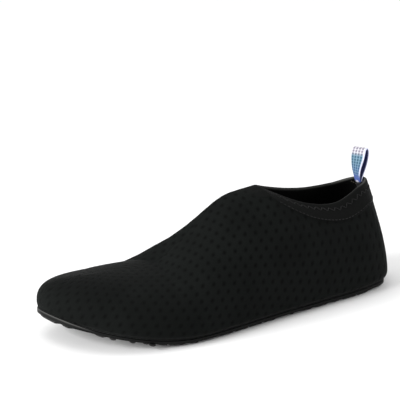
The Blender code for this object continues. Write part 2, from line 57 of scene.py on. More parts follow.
# %% Sizes of the last
LENGTH = 0.250
BALL_WIDTH = 0.0892
HEEL_WIDTH = 0.0624
HEEL_HEIGHT = 0.0697
THROAT_HEIGHT = 0.0789
TOE_BOX_HEIGHT = 0.0400
TOE_SPRING = 0.0141
SPRING_START = 0.68
SPRING_POWER = 1.9
ARCH_RISE = 0.0075
WALL = 0.0018
WIDEST_LEVEL = 0.0092
HEEL_WIDEST_RISE = 0.0016
TUCK = 0.0040
TOE_TUCK = 0.0006
HEEL_TUCK = 0.0021
EDGE_STAND = 0.0008
OPENING_HALF_WIDTH = 0.0162
OPENING_HEEL_REACH = 0.0113
THROAT_SHARE = 0.405
HEM_SEAM = 0.0150
HEM_STEP = 0.0006
SOLE_BODY = 0.0021
LUG_DEPTH = 0.0015
RIM_LIP = 0.0004
TOE_GUARD = 0.0013
CLEARANCE = 0.0003
RIDGE_SHARE = 0.80

# Columns: share of the length from the heel, shift of the middle line as a share of the ball
# width, full width as a share of the local width.
OUTLINE = np.array((
    (0.00, -0.040, 0.000), (0.02, -0.030, 0.522), (0.05, -0.045, 0.817), (0.10, -0.060, 0.950),
    (0.15, -0.070, 1.000), (0.20, -0.082, 0.992), (0.30, -0.116, 0.912), (0.40, -0.135, 0.820),
    (0.50, -0.143, 0.774), (0.60, -0.120, 0.818), (0.70, -0.049, 0.954), (0.75, -0.013, 1.000),
    (0.80, 0.024, 0.999), (0.85, 0.055, 0.941), (0.90, 0.090, 0.830), (0.95, 0.131, 0.643),
    (0.98, 0.165, 0.436), (1.00, 0.217, 0.000),
))
# Columns: share of the length from the heel, edge height on the outer and on the inner side as
# shares of the local height, shift of the ridge as a share of the ball width, fullness.
SECTIONS = np.array((
    (0.100, 1.000, 1.000, 0.000, 1.35), (0.160, 0.954, 0.926, 0.004, 1.73),
    (0.220, 0.859, 0.906, 0.012, 2.02), (0.300, 0.868, 0.925, 0.034, 2.15),
    (0.405, 1.000, 1.000, 0.106, 2.10), (0.500, 1.128, 1.128, 0.158, 1.96),
    (0.600, 1.090, 1.090, 0.132, 2.12), (0.700, 1.012, 1.012, 0.084, 2.35),
    (0.800, 0.988, 0.988, 0.056, 2.40), (0.900, 0.998, 0.998, 0.039, 2.41),
))
print("outline points:", len(OUTLINE), "sections:", len(SECTIONS))


# %% Curves of the last
def smooth(t):
    """Soft step: 3t^2 - 2t^3, held at 0 and 1 outside."""
    t = np.clip(t, 0.0, 1.0)
    return t * t * (3 - 2 * t)


def unit(vectors):
    """Vectors divided by their lengths."""
    return vectors / np.maximum(np.linalg.norm(vectors, axis=-1, keepdims=True), 1e-12)


def running(points):
    """Running length along a line of points, from 0."""
    return np.concatenate([[0.0], np.cumsum(np.linalg.norm(np.diff(points, axis=0), axis=1))])


def circle(count, start=0.0):
    """Unit vectors evenly round a circle: the cosine and sine of each angle."""
    angle = start + 2 * np.pi * np.arange(count) / count
    return np.stack([np.cos(angle), np.sin(angle)], axis=1)


def curve(x, xs, ys):
    """Hermite curve through a table's points; each slope comes from the neighbouring points."""
    slope = np.gradient(ys, xs)
    i = np.clip(np.searchsorted(xs, x) - 1, 0, len(xs) - 2)
    step = xs[i + 1] - xs[i]
    t = np.clip((x - xs[i]) / step, 0.0, 1.0)
    start = (2 * t**3 - 3 * t**2 + 1) * ys[i] + (t**3 - 2 * t**2 + t) * step * slope[i]
    end = (3 * t**2 - 2 * t**3) * ys[i + 1] + (t**3 - t**2) * step * slope[i + 1]
    return start + end


def column(share, index):
    """One column of the section table at a share of the length."""
    return curve(share, SECTIONS[:, 0], SECTIONS[:, index])


# %% [markdown]
# The plan edge is read from the outline table by a turn round the shoe: 0 at the heel's back,
# over the outer side to half a circle at the toe, and home along the inner side. Level rays lead
# from it to the middle line or to the ridge, and every section stands on one of them.


# %% The plan edge and its rays
def raw_plan(turn):
    """Plan edge at a turn: x from the share (1 - cos turn) / 2, y = middle shift -+ half width."""
    angles = np.arccos(1 - 2 * OUTLINE[:, 0])
    local = HEEL_WIDTH + (BALL_WIDTH - HEEL_WIDTH) * smooth((OUTLINE[:, 0] - 0.2) / 0.5)
    shift = OUTLINE[:, 1] * BALL_WIDTH
    width = OUTLINE[:, 2] * local
    around = np.concatenate([-angles[3:0:-1], angles, 2 * np.pi - angles[-2:-5:-1]])
    shifts = np.concatenate([shift[3:0:-1], shift, shift[-2:-5:-1]])
    widths = np.concatenate([-width[3:0:-1], width, -width[-2:-5:-1]])
    fold = np.where(turn > np.pi, 2 * np.pi - turn, turn)
    side = np.where(turn > np.pi, 1.0, -1.0)
    share = (1 - np.cos(turn)) / 2
    y = curve(fold, around, shifts) + side * curve(fold, around, widths) / 2
    return LENGTH * (0.5 - share), y, share


edge_y = raw_plan(np.linspace(0, 2 * np.pi, 721))[1]
PLAN_MIDDLE = (edge_y.max() + edge_y.min()) / 2


def plan(turn):
    """The plan edge, centred between its outermost points."""
    x, y, share = raw_plan(turn)
    return x, y - PLAN_MIDDLE, share


def middle_line(share):
    """Half way between the outer and the inner edge."""
    turn = np.arccos(1 - 2 * share)
    return (plan(turn)[1] + plan(2 * np.pi - turn)[1]) / 2


def spring(x):
    """Toe spring: the tread leaves the floor by a power of the way past the spring's start."""
    past = np.clip((0.5 - x / LENGTH - SPRING_START) / (1 - SPRING_START), 0, None)
    return TOE_SPRING * past**SPRING_POWER


def arch(turn, share):
    """Rise of the inner edge at the arch: a soft step up and a soft step down."""
    lift = smooth((share - 0.24) / 0.16) * smooth((0.64 - share) / 0.18)
    return np.where(turn > np.pi, ARCH_RISE * lift, 0.0)


def at_toe(share):
    """0 along the shoe and 1 at its tip: a soft step over the last twentieth."""
    return smooth((share - 0.95) / 0.04)


def tuck(share):
    """How far the sole edge lies inside the widest level: least at the toe, less at the heel."""
    heel = 1 - smooth((share - 0.01) / 0.09)
    return TUCK + (TOE_TUCK - TUCK) * at_toe(share) + (HEEL_TUCK - TUCK) * heel


def rays(turn, shifted):
    """Level rays from the edge to the middle line, or to the ridge when shifted."""
    x, y, share = plan(turn)
    along = 0.5 + RIDGE_SHARE * (share - 0.5)
    end_x = LENGTH * (0.5 - along)
    end_y = middle_line(along) + (column(along, 3) * BALL_WIDTH if shifted else 0.0)
    reach = np.hypot(end_x - x, end_y - y)
    return x, y, share, along, reach, (end_x - x) / reach, (end_y - y) / reach


def along_rays(turn, inset, height, shifted):
    """Points at insets along each station's ray and at heights; inset has a row per station."""
    x, y, _, _, _, ray_x, ray_y = (part[:, None] for part in rays(turn, shifted))
    return np.stack([x + ray_x * inset, y + ray_y * inset, height + 0 * inset], axis=-1)


def rim_top(turn, share, x):
    """Level of the ledge that the upper stands on."""
    return LUG_DEPTH + SOLE_BODY + TOE_GUARD * at_toe(share) + arch(turn, share) + spring(x)


def even_turns(first, last, count):
    """Turns spaced evenly along the plan edge: the inverse of its running length."""
    fine = np.linspace(first, last, 3000)
    run = running(np.stack(plan(fine)[:2], axis=1))
    return np.interp(np.linspace(0, run[-1], count), run, fine)


def rowwise(at, xs, ys):
    """Linear reading of each row of ys over its own row of xs, in one call: rows are set apart."""
    apart = (xs.max() - xs.min() + 1.0) * np.arange(len(xs))[:, None]
    return np.interp((at + apart).ravel(), (xs + apart).ravel(), ys.ravel()).reshape(at.shape)


edge_run = running(np.stack(plan(np.linspace(0, 2 * np.pi, 4000))[:2], axis=1))
print("plan edge runs", round(edge_run[-1] * 1000, 1), "mm round the shoe")

# %% [markdown]
# ## From arrays to meshes
#
# Every new surface is a grid of points worked out as one array. The helper below turns it into a
# mesh, drops points that no face uses, makes sure that the faces look outwards by the sign of
# the enclosed volume, and counts the edges that are not shared by two faces, so that an open
# seam shows up at once in the printed line.


# %% Mesh helpers
def grid_faces(index):
    """Quads between the rows of a table of point numbers; the last column joins the first."""
    across = np.roll(index, -1, axis=-1)
    corners = index[..., :-1, :], across[..., :-1, :], across[..., 1:, :], index[..., 1:, :]
    return np.stack(corners, axis=-1).reshape(-1, 4)


def stack_faces(counts):
    """Faces of closed stacks of rings: quads between the rings, and two end caps for each stack.

    counts holds the number of stacks, of rings in a stack and of points in a ring.
    """
    index = np.arange(math.prod(counts)).reshape(counts)
    return [grid_faces(index), np.concatenate([index[:, 0, ::-1], index[:, -1]])]


def volume(points, faces):
    """Signed volume by the divergence theorem, each face fanned from its first corner."""
    total = 0.0
    for k in range(1, faces.shape[1] - 1):
        a, b, c = points[faces[:, 0]], points[faces[:, k]], points[faces[:, k + 1]]
        total += (a * np.cross(b, c)).sum() / 6
    return total


def add_object(name, data):
    """Object with its data, linked to the scene."""
    made = bpy.data.objects.new(name, data)
    bpy.context.scene.collection.objects.link(made)
    return made


def make_piece(name, points, groups, finish, uv=None, smooth_angle=None, marks=None):
    """Mesh object from points and a list of face arrays; uv holds one pair per face corner.

    marks gives named numbers for every point, which the finish reads as attributes.
    """
    points = np.asarray(points, float).reshape(-1, 3)
    if sum(volume(points, f) for f in groups) < 0:
        groups = [f[:, ::-1] for f in groups]
        uv = None if uv is None else [u[:, ::-1] for u in uv]
    edges = [np.stack([f, np.roll(f, -1, axis=1)], axis=-1).reshape(-1, 2) for f in groups]
    _, uses = np.unique(np.sort(np.concatenate(edges), axis=1), axis=0, return_counts=True)
    used, corners = np.unique(np.concatenate([f.ravel() for f in groups]), return_inverse=True)
    parts = np.split(corners, np.cumsum([f.size for f in groups])[:-1])
    polygons = [p for f, part in zip(groups, parts) for p in part.reshape(f.shape).tolist()]
    mesh = bpy.data.meshes.new(name)
    mesh.from_pydata(points[used].tolist(), [], polygons)
    if uv is not None:
        pairs = np.concatenate([u.reshape(-1, 2) for u in uv]).astype(np.float32)
        mesh.uv_layers.new(name="fabric").data.foreach_set("uv", pairs.ravel())
    for key, values in (marks or {}).items():
        held = mesh.attributes.new(key, "FLOAT", "POINT")
        held.data.foreach_set("value", values[used].astype(np.float32))
    mesh.shade_smooth()
    if smooth_angle is not None:
        mesh.set_sharp_from_angle(angle=math.radians(smooth_angle))
    mesh.materials.append(finish)
    piece = add_object(name, mesh)
    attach(piece, "root")
    triangles = sum(len(f) * (f.shape[1] - 2) for f in groups)
    print(name, "triangles:", triangles, "open or doubled edges:", int((uses != 2).sum()))
    return piece


# %% [markdown]
# ## Materials as small node graphs
#
# The export bakes whatever a graph paints, so each finish reads only Object coordinates, the
# piece's own UV map, or numbers that the piece holds for its points. A few helpers keep the
# graphs short to write: each makes a node, sets its values and links its inputs in one call.


# %% Node helpers
def add_node(tree, kind, settings=None, **inputs):
    """One node: settings are its properties, inputs are values or sockets.

    An input goes by its name, with _ for a space, or by its number, as in i0.
    """
    node = tree.nodes.new(kind)
    for key, value in (settings or {}).items():
        setattr(node, key, value)
    for key, value in inputs.items():
        socket = node.inputs[int(key[1:]) if key[1:].isdigit() else key.replace("_", " ")]
        if isinstance(value, bpy.types.NodeSocket):
            tree.links.new(value, socket)
        else:
            socket.default_value = value
    return node


def maths(tree, operation, a, b=0.0):
    """One Math node's value."""
    return add_node(tree, "ShaderNodeMath", {"operation": operation}, i0=a, i1=b).outputs[0]


def vector(tree, operation, a, b=(0, 0, 0)):
    """One Vector Math node; LENGTH gives a value, the others give a vector."""
    node = add_node(tree, "ShaderNodeVectorMath", {"operation": operation}, i0=a, i1=b)
    return node.outputs["Value" if operation == "LENGTH" else "Vector"]


def ramp(tree, value, low, high, start=0.0, end=1.0):
    """Soft step of a value: low to high becomes start to end."""
    return add_node(tree, "ShaderNodeMapRange", {"interpolation_type": "SMOOTHSTEP"}, Value=value,
                    From_Min=low, From_Max=high, To_Min=start, To_Max=end).outputs[0]


def blend_colour(tree, share, first, second):
    """Mix of two colours by a share."""
    a, b = (c if isinstance(c, bpy.types.NodeSocket) else (*c, 1.0) for c in (first, second))
    return add_node(tree, "ShaderNodeMix", {"data_type": "RGBA"}, i0=share, i6=a, i7=b).outputs[2]


def bump(tree, height, strength, distance, **lower):
    """Bump from a height, on top of another bump if one is given as Normal."""
    return add_node(tree, "ShaderNodeBump", None, Height=height, Strength=strength,
                    Distance=distance, **lower).outputs[0]


def place_of(tree, kind="OBJECT"):
    """Object coordinates, or the piece's own UV map."""
    if kind == "UV":
        return add_node(tree, "ShaderNodeUVMap", {"uv_map": "fabric"}).outputs[0]
    return add_node(tree, "ShaderNodeTexCoord").outputs["Object"]


def split(tree, place):
    """The three parts of a place."""
    return add_node(tree, "ShaderNodeSeparateXYZ", None, i0=place).outputs


def held(tree, name):
    """A number that the piece holds for its points, 0 where it holds none."""
    return add_node(tree, "ShaderNodeAttribute", {"attribute_name": name}).outputs["Fac"]


def noise(tree, scale, detail):
    """Noise over the Object coordinates."""
    return add_node(tree, "ShaderNodeTexNoise", None, Vector=place_of(tree), Scale=scale,
                    Detail=detail).outputs[0]


def start_finish(name, **constants):
    """New material and its tree; constants are set on the shader's own sockets."""
    made = bpy.data.materials.new(name)
    made.use_nodes = True
    for key, value in constants.items():
        shader = made.node_tree.nodes["Principled BSDF"]
        shader.inputs[key.replace("_", " ")].default_value = value
    return made, made.node_tree


def dress(made, **linked):
    """Link what a graph worked out to the shader, and give the finish back."""
    tree = made.node_tree
    for key, socket in linked.items():
        tree.links.new(socket, tree.nodes["Principled BSDF"].inputs[key.replace("_", " ")])
    return made


# %% [markdown]
# ## Black stretch knit
#
# The upper is a matt black swim fabric with a heat-set lattice of small round dents. The dents
# follow the cloth, so they are charted in the cloth's own coordinates: a UV map whose first
# number counts dents along a row and whose second counts rows. Two interleaved rectangular
# grids make the staggered lattice, and the nearer dent of the two counts. The same formula
# presses the dents into the mesh itself; the shader sharpens them as bump, paints shade into
# them as a darker colour, and adds the fine ribs of the knit, a little nap and a soft sheen. Two
# numbers held by the mesh guide it: plain is high on the hem and on the heel seam, which have no
# dents, and low on the forefoot, where they are shallower; the other is high on the collar's
# fold, where a paler colour is painted on as a highlight.

# %% Fabric lattice
DENT_PITCH = 0.0081
ROW_PITCH = 0.0054
DENT_RADIUS = 0.0026
DENT_DEPTH = 0.00013
DENT_SLIM = 1.08
DENT_CELL = (DENT_PITCH * DENT_SLIM, 2 * ROW_PITCH / DENT_SLIM)
KNIT_RIBS = 13.0
KNIT_TONE = (0.0038, 0.0045, 0.0042)
HEM_TONE = (0.0052, 0.0046, 0.0046)
# Painted highlight colour for the collar's fold.
FOLD_HIGHLIGHT_TONE = (0.085, 0.085, 0.080)


def dents(u, v):
    """Depth of the dent lattice, 0 to 1: a soft bell round the nearest point of two grids."""
    near = np.full(u.shape, 1e9)
    for shift_u, shift_v in ((0.0, 0.0), (0.5, 1.0)):
        du = (u - shift_u + 0.5) % 1.0 - 0.5
        dv = ((v - shift_v) / 2 + 0.5) % 1.0 - 0.5
        near = np.minimum(near, np.hypot(du * DENT_CELL[0], dv * DENT_CELL[1]))
    return smooth(1 - near / DENT_RADIUS)


def dent_nodes(tree, place):
    """The same lattice in nodes, from a UV place."""
    found = []
    for shift in ((0.5, 0.5, 0.0), (0.0, 0.0, 0.0)):
        halved = vector(tree, "MULTIPLY", place, (1.0, 0.5, 0.0))
        cell = vector(tree, "FRACTION", vector(tree, "ADD", halved, shift))
        centred = vector(tree, "SUBTRACT", cell, (0.5, 0.5, 0.0))
        found.append(vector(tree, "LENGTH", vector(tree, "MULTIPLY", centred, (*DENT_CELL, 0.0))))
    return ramp(tree, maths(tree, "MINIMUM", *found), 0.0, DENT_RADIUS, 1.0, 0.0)


# %% Knit and hem thread
def knit_finish():
    """Knit: dents, ribs and nap as bump; painted shade in the dents, mottled, a painted highlight
    on the fold.
    """
    made, tree = start_finish("black_knit", Roughness=0.88, Sheen_Weight=0.032,
                              Sheen_Roughness=0.3, Specular_IOR_Level=0.05)
    place = place_of(tree, "UV")
    plain = held(tree, "plain")
    hollow = maths(tree, "MULTIPLY", dent_nodes(tree, place), maths(tree, "SUBTRACT", 1.0, plain))
    rib_scale = (KNIT_RIBS * 2 * math.pi, KNIT_RIBS * 4.4, 0.0)
    ribs = split(tree, vector(tree, "MULTIPLY", place, rib_scale))
    zigzag = maths(tree, "SINE", maths(tree, "ADD", ribs[0], maths(tree, "SINE", ribs[1])))
    mottled = blend_colour(tree, ramp(tree, noise(tree, 38.0, 2.0), 0.35, 0.65),
                           KNIT_TONE, [1.25 * c for c in KNIT_TONE])
    # Painted shade: the dents take a colour darkened to a third of the knit's.
    dent_shade = blend_colour(tree, hollow, mottled, [0.34 * c for c in KNIT_TONE])
    hemmed = blend_colour(tree, maths(tree, "MULTIPLY", plain, 0.4), dent_shade, HEM_TONE)
    relief = bump(tree, hollow, 0.35, -0.0002)
    relief = bump(tree, zigzag, 0.35, 0.00006, Normal=relief)
    relief = bump(tree, noise(tree, 900.0, 3.0), 0.5, 0.0001, Normal=relief)
    # A painted highlight makes the collar's fold paler.
    return dress(made, Base_Color=blend_colour(tree, held(tree, "painted_highlight"), hemmed, FOLD_HIGHLIGHT_TONE),
                 Normal=relief)


def hem_thread_finish():
    """Thread: two dark greys along its twist, fading to near black towards the heel."""
    made, tree = start_finish("hem_thread", Roughness=0.8, Sheen_Weight=0.06,
                              Specular_IOR_Level=0.2)
    twist = add_node(tree, "ShaderNodeTexWave", None, Vector=place_of(tree), Scale=700.0,
                     Distortion=2.0).outputs["Fac"]
    lit = blend_colour(tree, twist, (0.0055, 0.0056, 0.0056), (0.0135, 0.0132, 0.0130))
    heelwards = ramp(tree, split(tree, place_of(tree))[0], 0.062, 0.090)
    return dress(made, Base_Color=blend_colour(tree, heelwards, lit, (0.0042, 0.0044, 0.0044)),
                 Normal=bump(tree, twist, 0.6, 0.0001))


BLACK_KNIT = knit_finish()
HEM_THREAD = hem_thread_finish()
print("dent pitch", DENT_PITCH, "rows", ROW_PITCH)

# %% [markdown]
# ## The upper's sections
#
# One section of the upper is a curve from the sole's ledge out to the widest level and over to
# the collar or to the ridge. All the sections are worked out together, as one array with a row
# for each station round the shoe. Stations are spaced evenly along the plan edge, with two more
# beside the throat, where the collar edge turns sharply.

# %% Stations and sections
ROLL_POINTS = 9
ROLL_ANGLE = math.radians(60)
DOME_POINTS = 80
RIDGE_HEEL = 0.10


def upper_section(turn):
    """Foot, roll (an arc) and superellipse dome, as inset and height for each station."""
    x, _, share, along, reach, ray_x, _ = rays(turn, True)
    inset = tuck(share)
    foot = rim_top(turn, share, x + ray_x * inset) + CLEARANCE
    lift = spring(x) + 0.6 * arch(turn, share)
    widest = WIDEST_LEVEL + lift + HEEL_WIDEST_RISE * np.clip(1 - share / 0.25, 0, None)
    local = np.interp(along, (RIDGE_HEEL, THROAT_SHARE, 0.7, 0.9),
                      (HEEL_HEIGHT, THROAT_HEIGHT, TOE_BOX_HEIGHT, TOE_BOX_HEIGHT))
    side = np.where(turn > np.pi, column(along, 2), column(along, 1))
    ridge = (column(along, 1) + column(along, 2)) / 2
    beyond = along > THROAT_SHARE - 1e-6
    top = local * np.where(beyond, ridge, side)
    fullness = column(along, 4)
    q = np.clip((along - RIDGE_HEEL) / (THROAT_SHARE - RIDGE_HEEL), 0, 1)
    half = OPENING_HEEL_REACH + (OPENING_HALF_WIDTH - OPENING_HEEL_REACH) * np.clip(q / 0.25, 0, 1)
    opening = np.where(beyond, 0.0, half * np.sqrt(1 - q * q))
    crown = widest + (top - widest) / (1 - (opening / reach) ** fullness) ** (1 / fullness)
    stop = np.arcsin(np.clip((top - widest) / (crown - widest), 0, 1) ** (fullness / 2))
    roll = np.linspace(ROLL_ANGLE, 0, ROLL_POINTS)[None, :-1]
    stand = foot + EDGE_STAND
    roll_d = inset[:, None] * (1 - np.cos(roll)) / (1 - math.cos(ROLL_ANGLE))
    roll_z = widest[:, None] - (widest - stand)[:, None] * np.sin(roll) / math.sin(ROLL_ANGLE)
    angle = stop[:, None] * np.linspace(0, 1, DOME_POINTS)[None, :]
    power = 2 / fullness[:, None]
    dome_d = reach[:, None] * (1 - np.cos(angle) ** power)
    dome_z = widest[:, None] + (crown - widest)[:, None] * np.sin(angle) ** power
    d = np.concatenate([inset[:, None], roll_d, dome_d], axis=1)
    z = np.concatenate([foot[:, None], roll_z, dome_z], axis=1)
    steps = np.hypot(np.diff(d), np.diff(z))
    run = np.concatenate([np.zeros((len(turn), 1)), np.cumsum(steps, axis=1)], axis=1)
    return d, z, run, along, opening


def on_upper(turn, marks):
    """Points of the base surface at running lengths up each station's section."""
    d, z, run, _, _ = upper_section(turn)
    return along_rays(turn, rowwise(marks, run, d), rowwise(marks, run, z), True)


def hem_reach(along):
    """Width and strength of the hem: full round the collar, closing round the throat."""
    past = np.clip((along - THROAT_SHARE) * LENGTH / HEM_SEAM, 0, 1)
    return HEM_SEAM * np.maximum(np.sqrt(1 - past**2), 0.25), 1 - smooth(past)


THROAT_TURN = math.acos(1 - 2 * (0.5 + (THROAT_SHARE - 0.5) / RIDGE_SHARE))
quarter = even_turns(0, THROAT_TURN, 190)
beside = THROAT_TURN - (THROAT_TURN - quarter[-2]) * np.array([0.62, 0.30])
vamp = even_turns(THROAT_TURN, math.pi, 150)
OUTER_TURNS = np.concatenate([quarter[:-1], beside, vamp])
THROAT_STATION = len(quarter) - 1 + len(beside)
LAST_STATION = len(OUTER_TURNS) - 1
TURNS = np.concatenate([OUTER_TURNS, 2 * math.pi - OUTER_TURNS[-2:0:-1]])
STATIONS = len(TURNS)
print("stations:", STATIONS, "throat at", THROAT_STATION)

# %% [markdown]
# ## Where the cloth's own coordinates lie
#
# On the outer side the dent rows run nearly level, rise a little towards the instep and dip
# again at the toe; the columns lean back towards the heel. A short table by the share of the
# edge's length holds how fast the rows drift. Over the ridge the lattice simply carries on down
# the inner side, so the cloth shows no joint there. Its two ends meet at the back of the heel,
# under a narrow seam.

# %% Fabric coordinates
# Columns: share of the outer edge from heel to toe, dent pitch and row pitch there in
# millimetres, drift of the rows per millimetre of edge.
CLOTH = np.array((
    (0.00, 7.3, 7.4, -0.020), (0.23, 7.5, 6.9, -0.032), (0.36, 8.0, 5.8, -0.047),
    (0.50, 8.3, 5.2, -0.044), (0.63, 8.1, 5.0, -0.024), (0.76, 7.5, 5.0, 0.014),
    (0.86, 6.8, 5.2, 0.052), (1.00, 6.6, 5.3, 0.090),
))
COLUMN_LEAN = 0.045


def cloth_place(turn, height, top, opening):
    """Lattice numbers (u, v) from a station's turn and the height above the widest level.

    u is the edge length over the dent pitch plus a lean with height, v the height over the row
    pitch plus the rows' drift along the edge. The inner side starts from the outer side's value
    at the ridge and goes on counting downwards.
    """
    fine = np.linspace(0, math.pi, 2000)
    edge = running(np.stack(plan(fine)[:2], axis=1)) * 1000
    share = edge / edge[-1]
    pitch, rows, drift = (curve(share, CLOTH[:, 0], CLOTH[:, i]) for i in (1, 2, 3))
    counts = np.cumsum(np.diff(edge) / pitch[1:]), np.cumsum(np.diff(edge) * drift[1:])
    fold = np.where(turn > math.pi, 2 * math.pi - turn, turn)
    base_u, base_v = (np.interp(fold, fine, np.append(0.0, c))[:, None] for c in counts)
    row_pitch = np.interp(fold, fine, rows)[:, None]
    high = height * 1000
    over = (2 * top + 2 * opening)[:, None] * 1000 - high
    climbed = np.where((turn > math.pi)[:, None], over, high)
    return base_u + COLUMN_LEAN * climbed, base_v + climbed / row_pitch


print("rows of the cloth table:", len(CLOTH))

# %% [markdown]
# ## Soft creases
#
# An empty knit shoe keeps faint memories of the box and the foot: shallow troughs where the
# forefoot bends, a slack fold under the collar on each side and a pull from the throat down
# the instep. They are placed one by one. Each is a line between two places on the cloth, given by
# the share of the length and the height up the section, with a width and a depth; its section is
# a bell curve that fades out at both ends.

# %% Crease table
# Columns: side (-1 outer, 1 inner), share and height at one end, share and height at the other,
# half width, depth (a minus sign makes a ridge), in millimetres.
CREASES = (
    (-1, 0.60, 0.10, 0.66, 0.98, 5.0, 0.30),
    (-1, 0.69, 0.05, 0.72, 0.96, 6.0, 0.24),
    (-1, 0.64, 0.10, 0.69, 0.97, 4.5, -0.18),
    (1, 0.60, 0.10, 0.66, 0.98, 5.0, 0.30),
    (1, 0.69, 0.05, 0.72, 0.96, 6.0, 0.24),
    (-1, 0.12, 0.80, 0.34, 0.70, 4.5, 0.55),
    (-1, 0.16, 0.62, 0.36, 0.58, 5.0, -0.35),
    (1, 0.12, 0.80, 0.34, 0.70, 4.5, 0.50),
    (-1, 0.42, 0.78, 0.58, 0.62, 6.0, 0.50),
    (-1, 0.08, 0.30, 0.10, 0.78, 5.5, 0.40),
    (1, 0.08, 0.30, 0.10, 0.78, 5.5, 0.35),
    (-1, 0.86, 0.55, 0.93, 0.25, 5.0, 0.35),
    (1, 0.86, 0.55, 0.93, 0.25, 5.0, 0.30),
)


def crease_relief(turn, share, height_share, size):
    """Sum of all creases: depth times a bell of the distance to the line, faded at its ends."""
    total = np.zeros_like(height_share)
    side = np.where(turn > math.pi, 1, -1)[:, None]
    for which, s0, h0, s1, h1, width, depth in CREASES:
        ax, ay = (s1 - s0) * LENGTH, (h1 - h0) * size
        px, py = (share[:, None] - s0) * LENGTH, (height_share - h0) * size
        run = (px * ax + py * ay) / (ax * ax + ay * ay)
        t = np.clip(run, 0, 1)
        away = np.hypot(px - t * ax, py - t * ay)
        ends = smooth((run + 0.15) / 0.35) * smooth((1.15 - run) / 0.35)
        bell = np.exp(-(away / (width / 1000)) ** 2)
        total -= np.where(side == which, depth / 1000 * bell * ends, 0.0)
    return total


print("creases:", len(CREASES))

# %% [markdown]
# ## The upper
#
# The wall is one closed shell: the outer face with its hem, creases and dents, a rounded fold
# along the collar edge, and a smooth inner face 1.8 mm further in. The rows of the grid run from
# the sole up, over the fold and back down. Rows are set closer where the hem steps out.

# %% Rows up the outer face
DOME_ROWS = 66
HEM_ROWS = 12
FOLD_ROWS = 5
INNER_ROWS = 16
HEM_STEP_RUN = 0.0011
FULL_FOLD = 0.006

_, _, section_run, section_along, section_opening = upper_section(TURNS)
full = section_run[:, -1:]
hem, hem_strength = (part[:, None] for part in hem_reach(section_along))
widest_mark = section_run[:, ROLL_POINTS:ROLL_POINTS + 1]
under_hem = full - hem
hem_marks = under_hem + np.minimum(HEM_STEP_RUN, hem / 3) * np.array([0.35, 0.7, 1.0])
fold_radius = (WALL + HEM_STEP) / 2
top_mark = full - fold_radius * np.clip(section_opening / FULL_FOLD, 0, 1)[:, None]
outer_marks = np.concatenate([
    widest_mark * np.linspace(0, 1, 9)[:-1],
    widest_mark + (under_hem - widest_mark) * np.linspace(0, 1, DOME_ROWS),
    hem_marks,
    hem_marks[:, -1:] + (top_mark - hem_marks[:, -1:]) * np.linspace(0, 1, HEM_ROWS + 1)[1:],
], axis=1)
base = on_upper(TURNS, outer_marks).transpose(1, 0, 2)
print("outer face:", base.shape[0], "rows of", base.shape[1], "points")

# %% [markdown]
# The relief moves each point along its normal. The two sides meet on the ridge, so there the
# normal is the mean of both. The hem stands 0.6 mm proud, with a groove under its zigzag, and
# the dents fade on the hem, along the heel's seam and a little on the stretched forefoot.

# %% Relief of the outer face
STITCH_LINE = 0.0052
STITCH_GROOVE = 0.00018
SEAM_HALF = 0.0016
SECTION_RISE = 0.065
FOOT_BAND = 0.004
FOREFOOT_FADE = 0.18


def normals(grid):
    """Unit normals of a grid that closes round its second axis: cross product of its slopes."""
    around = (np.roll(grid, -1, axis=1) - np.roll(grid, 1, axis=1)) / 2
    found = unit(np.cross(np.gradient(grid, axis=0), around))
    return found * np.sign((found[5] * (grid[5] - grid[5].mean(axis=0))).sum())


station = np.arange(STATIONS)
mirrored = -station % STATIONS
on_ridge = np.abs(station - LAST_STATION) <= LAST_STATION - THROAT_STATION
outward = normals(base)
outward[-1, on_ridge] = unit(outward[-3] + outward[-3][mirrored])[on_ridge]
from_edge = full - outer_marks
hem_rise = (hem_strength * smooth((hem - from_edge) / HEM_STEP_RUN)).T
above_widest = outer_marks - widest_mark
top_height = (full - widest_mark)[:, 0]
cloth_u, cloth_v = cloth_place(TURNS, above_widest, top_height, section_opening)
edge_share = plan(TURNS)[2]
crease = crease_relief(TURNS, edge_share, above_widest / (full - widest_mark), SECTION_RISE).T
near_foot = smooth(outer_marks.T / FOOT_BAND)
heel_away = np.minimum(TURNS, 2 * math.pi - TURNS) * HEEL_WIDTH / 2
heel_seam = np.exp(-(heel_away / SEAM_HALF) ** 2)
stretched = FOREFOOT_FADE * smooth((edge_share - 0.55) / 0.32)
plain = np.maximum(0.85 * hem_rise, np.maximum(heel_seam, stretched))
groove = np.exp(-((from_edge.T - STITCH_LINE) / SEAM_HALF) ** 2) * hem_rise
relief = HEM_STEP * hem_rise + crease * (1 - hem_rise) * near_foot - STITCH_GROOVE * groove
relief -= DENT_DEPTH * dents(cloth_u, cloth_v).T * (1 - plain) * near_foot
outer = base + outward * relief[:, :, None]
print("relief:", round(relief.min() * 1000, 2), "to", round(relief.max() * 1000, 2), "mm")

# %% [markdown]
# The inner face follows the same sections one wall further in. The fold is a half circle between
# the two faces, turned up along the collar edge.

# %% Inner face and fold
inner_marks = top_mark * np.linspace(1, 0, INNER_ROWS)
inner_base = on_upper(TURNS, inner_marks).transpose(1, 0, 2)
inner = inner_base - normals(inner_base) * WALL
inner[0] = base[-1] - outward[-1] * WALL

open_spans = np.arange(-THROAT_STATION, THROAT_STATION) % STATIONS
edge_line = base[-1][open_spans]
along_edge = unit(np.roll(edge_line, -1, axis=0) - np.roll(edge_line, 1, axis=0))
rise = np.cross(outward[-1][open_spans], along_edge)
rise = unit(rise * np.sign((rise * (base[-1] - base[-4])[open_spans]).sum()))
top_outer, top_inner = outer[-1][open_spans], inner[0][open_spans]
half_wall = (top_outer - top_inner) / 2
radius = np.linalg.norm(half_wall, axis=1, keepdims=True)
phi = np.linspace(0, math.pi, FOLD_ROWS + 2)[1:-1, None, None]
fold = np.zeros((FOLD_ROWS, STATIONS, 3))
fold[:, open_spans] = ((top_outer + top_inner) / 2 + half_wall * np.cos(phi)
                       + rise * radius * np.sin(phi))
print("collar edge:", round(running(edge_line)[-1] * 1000), "mm long")
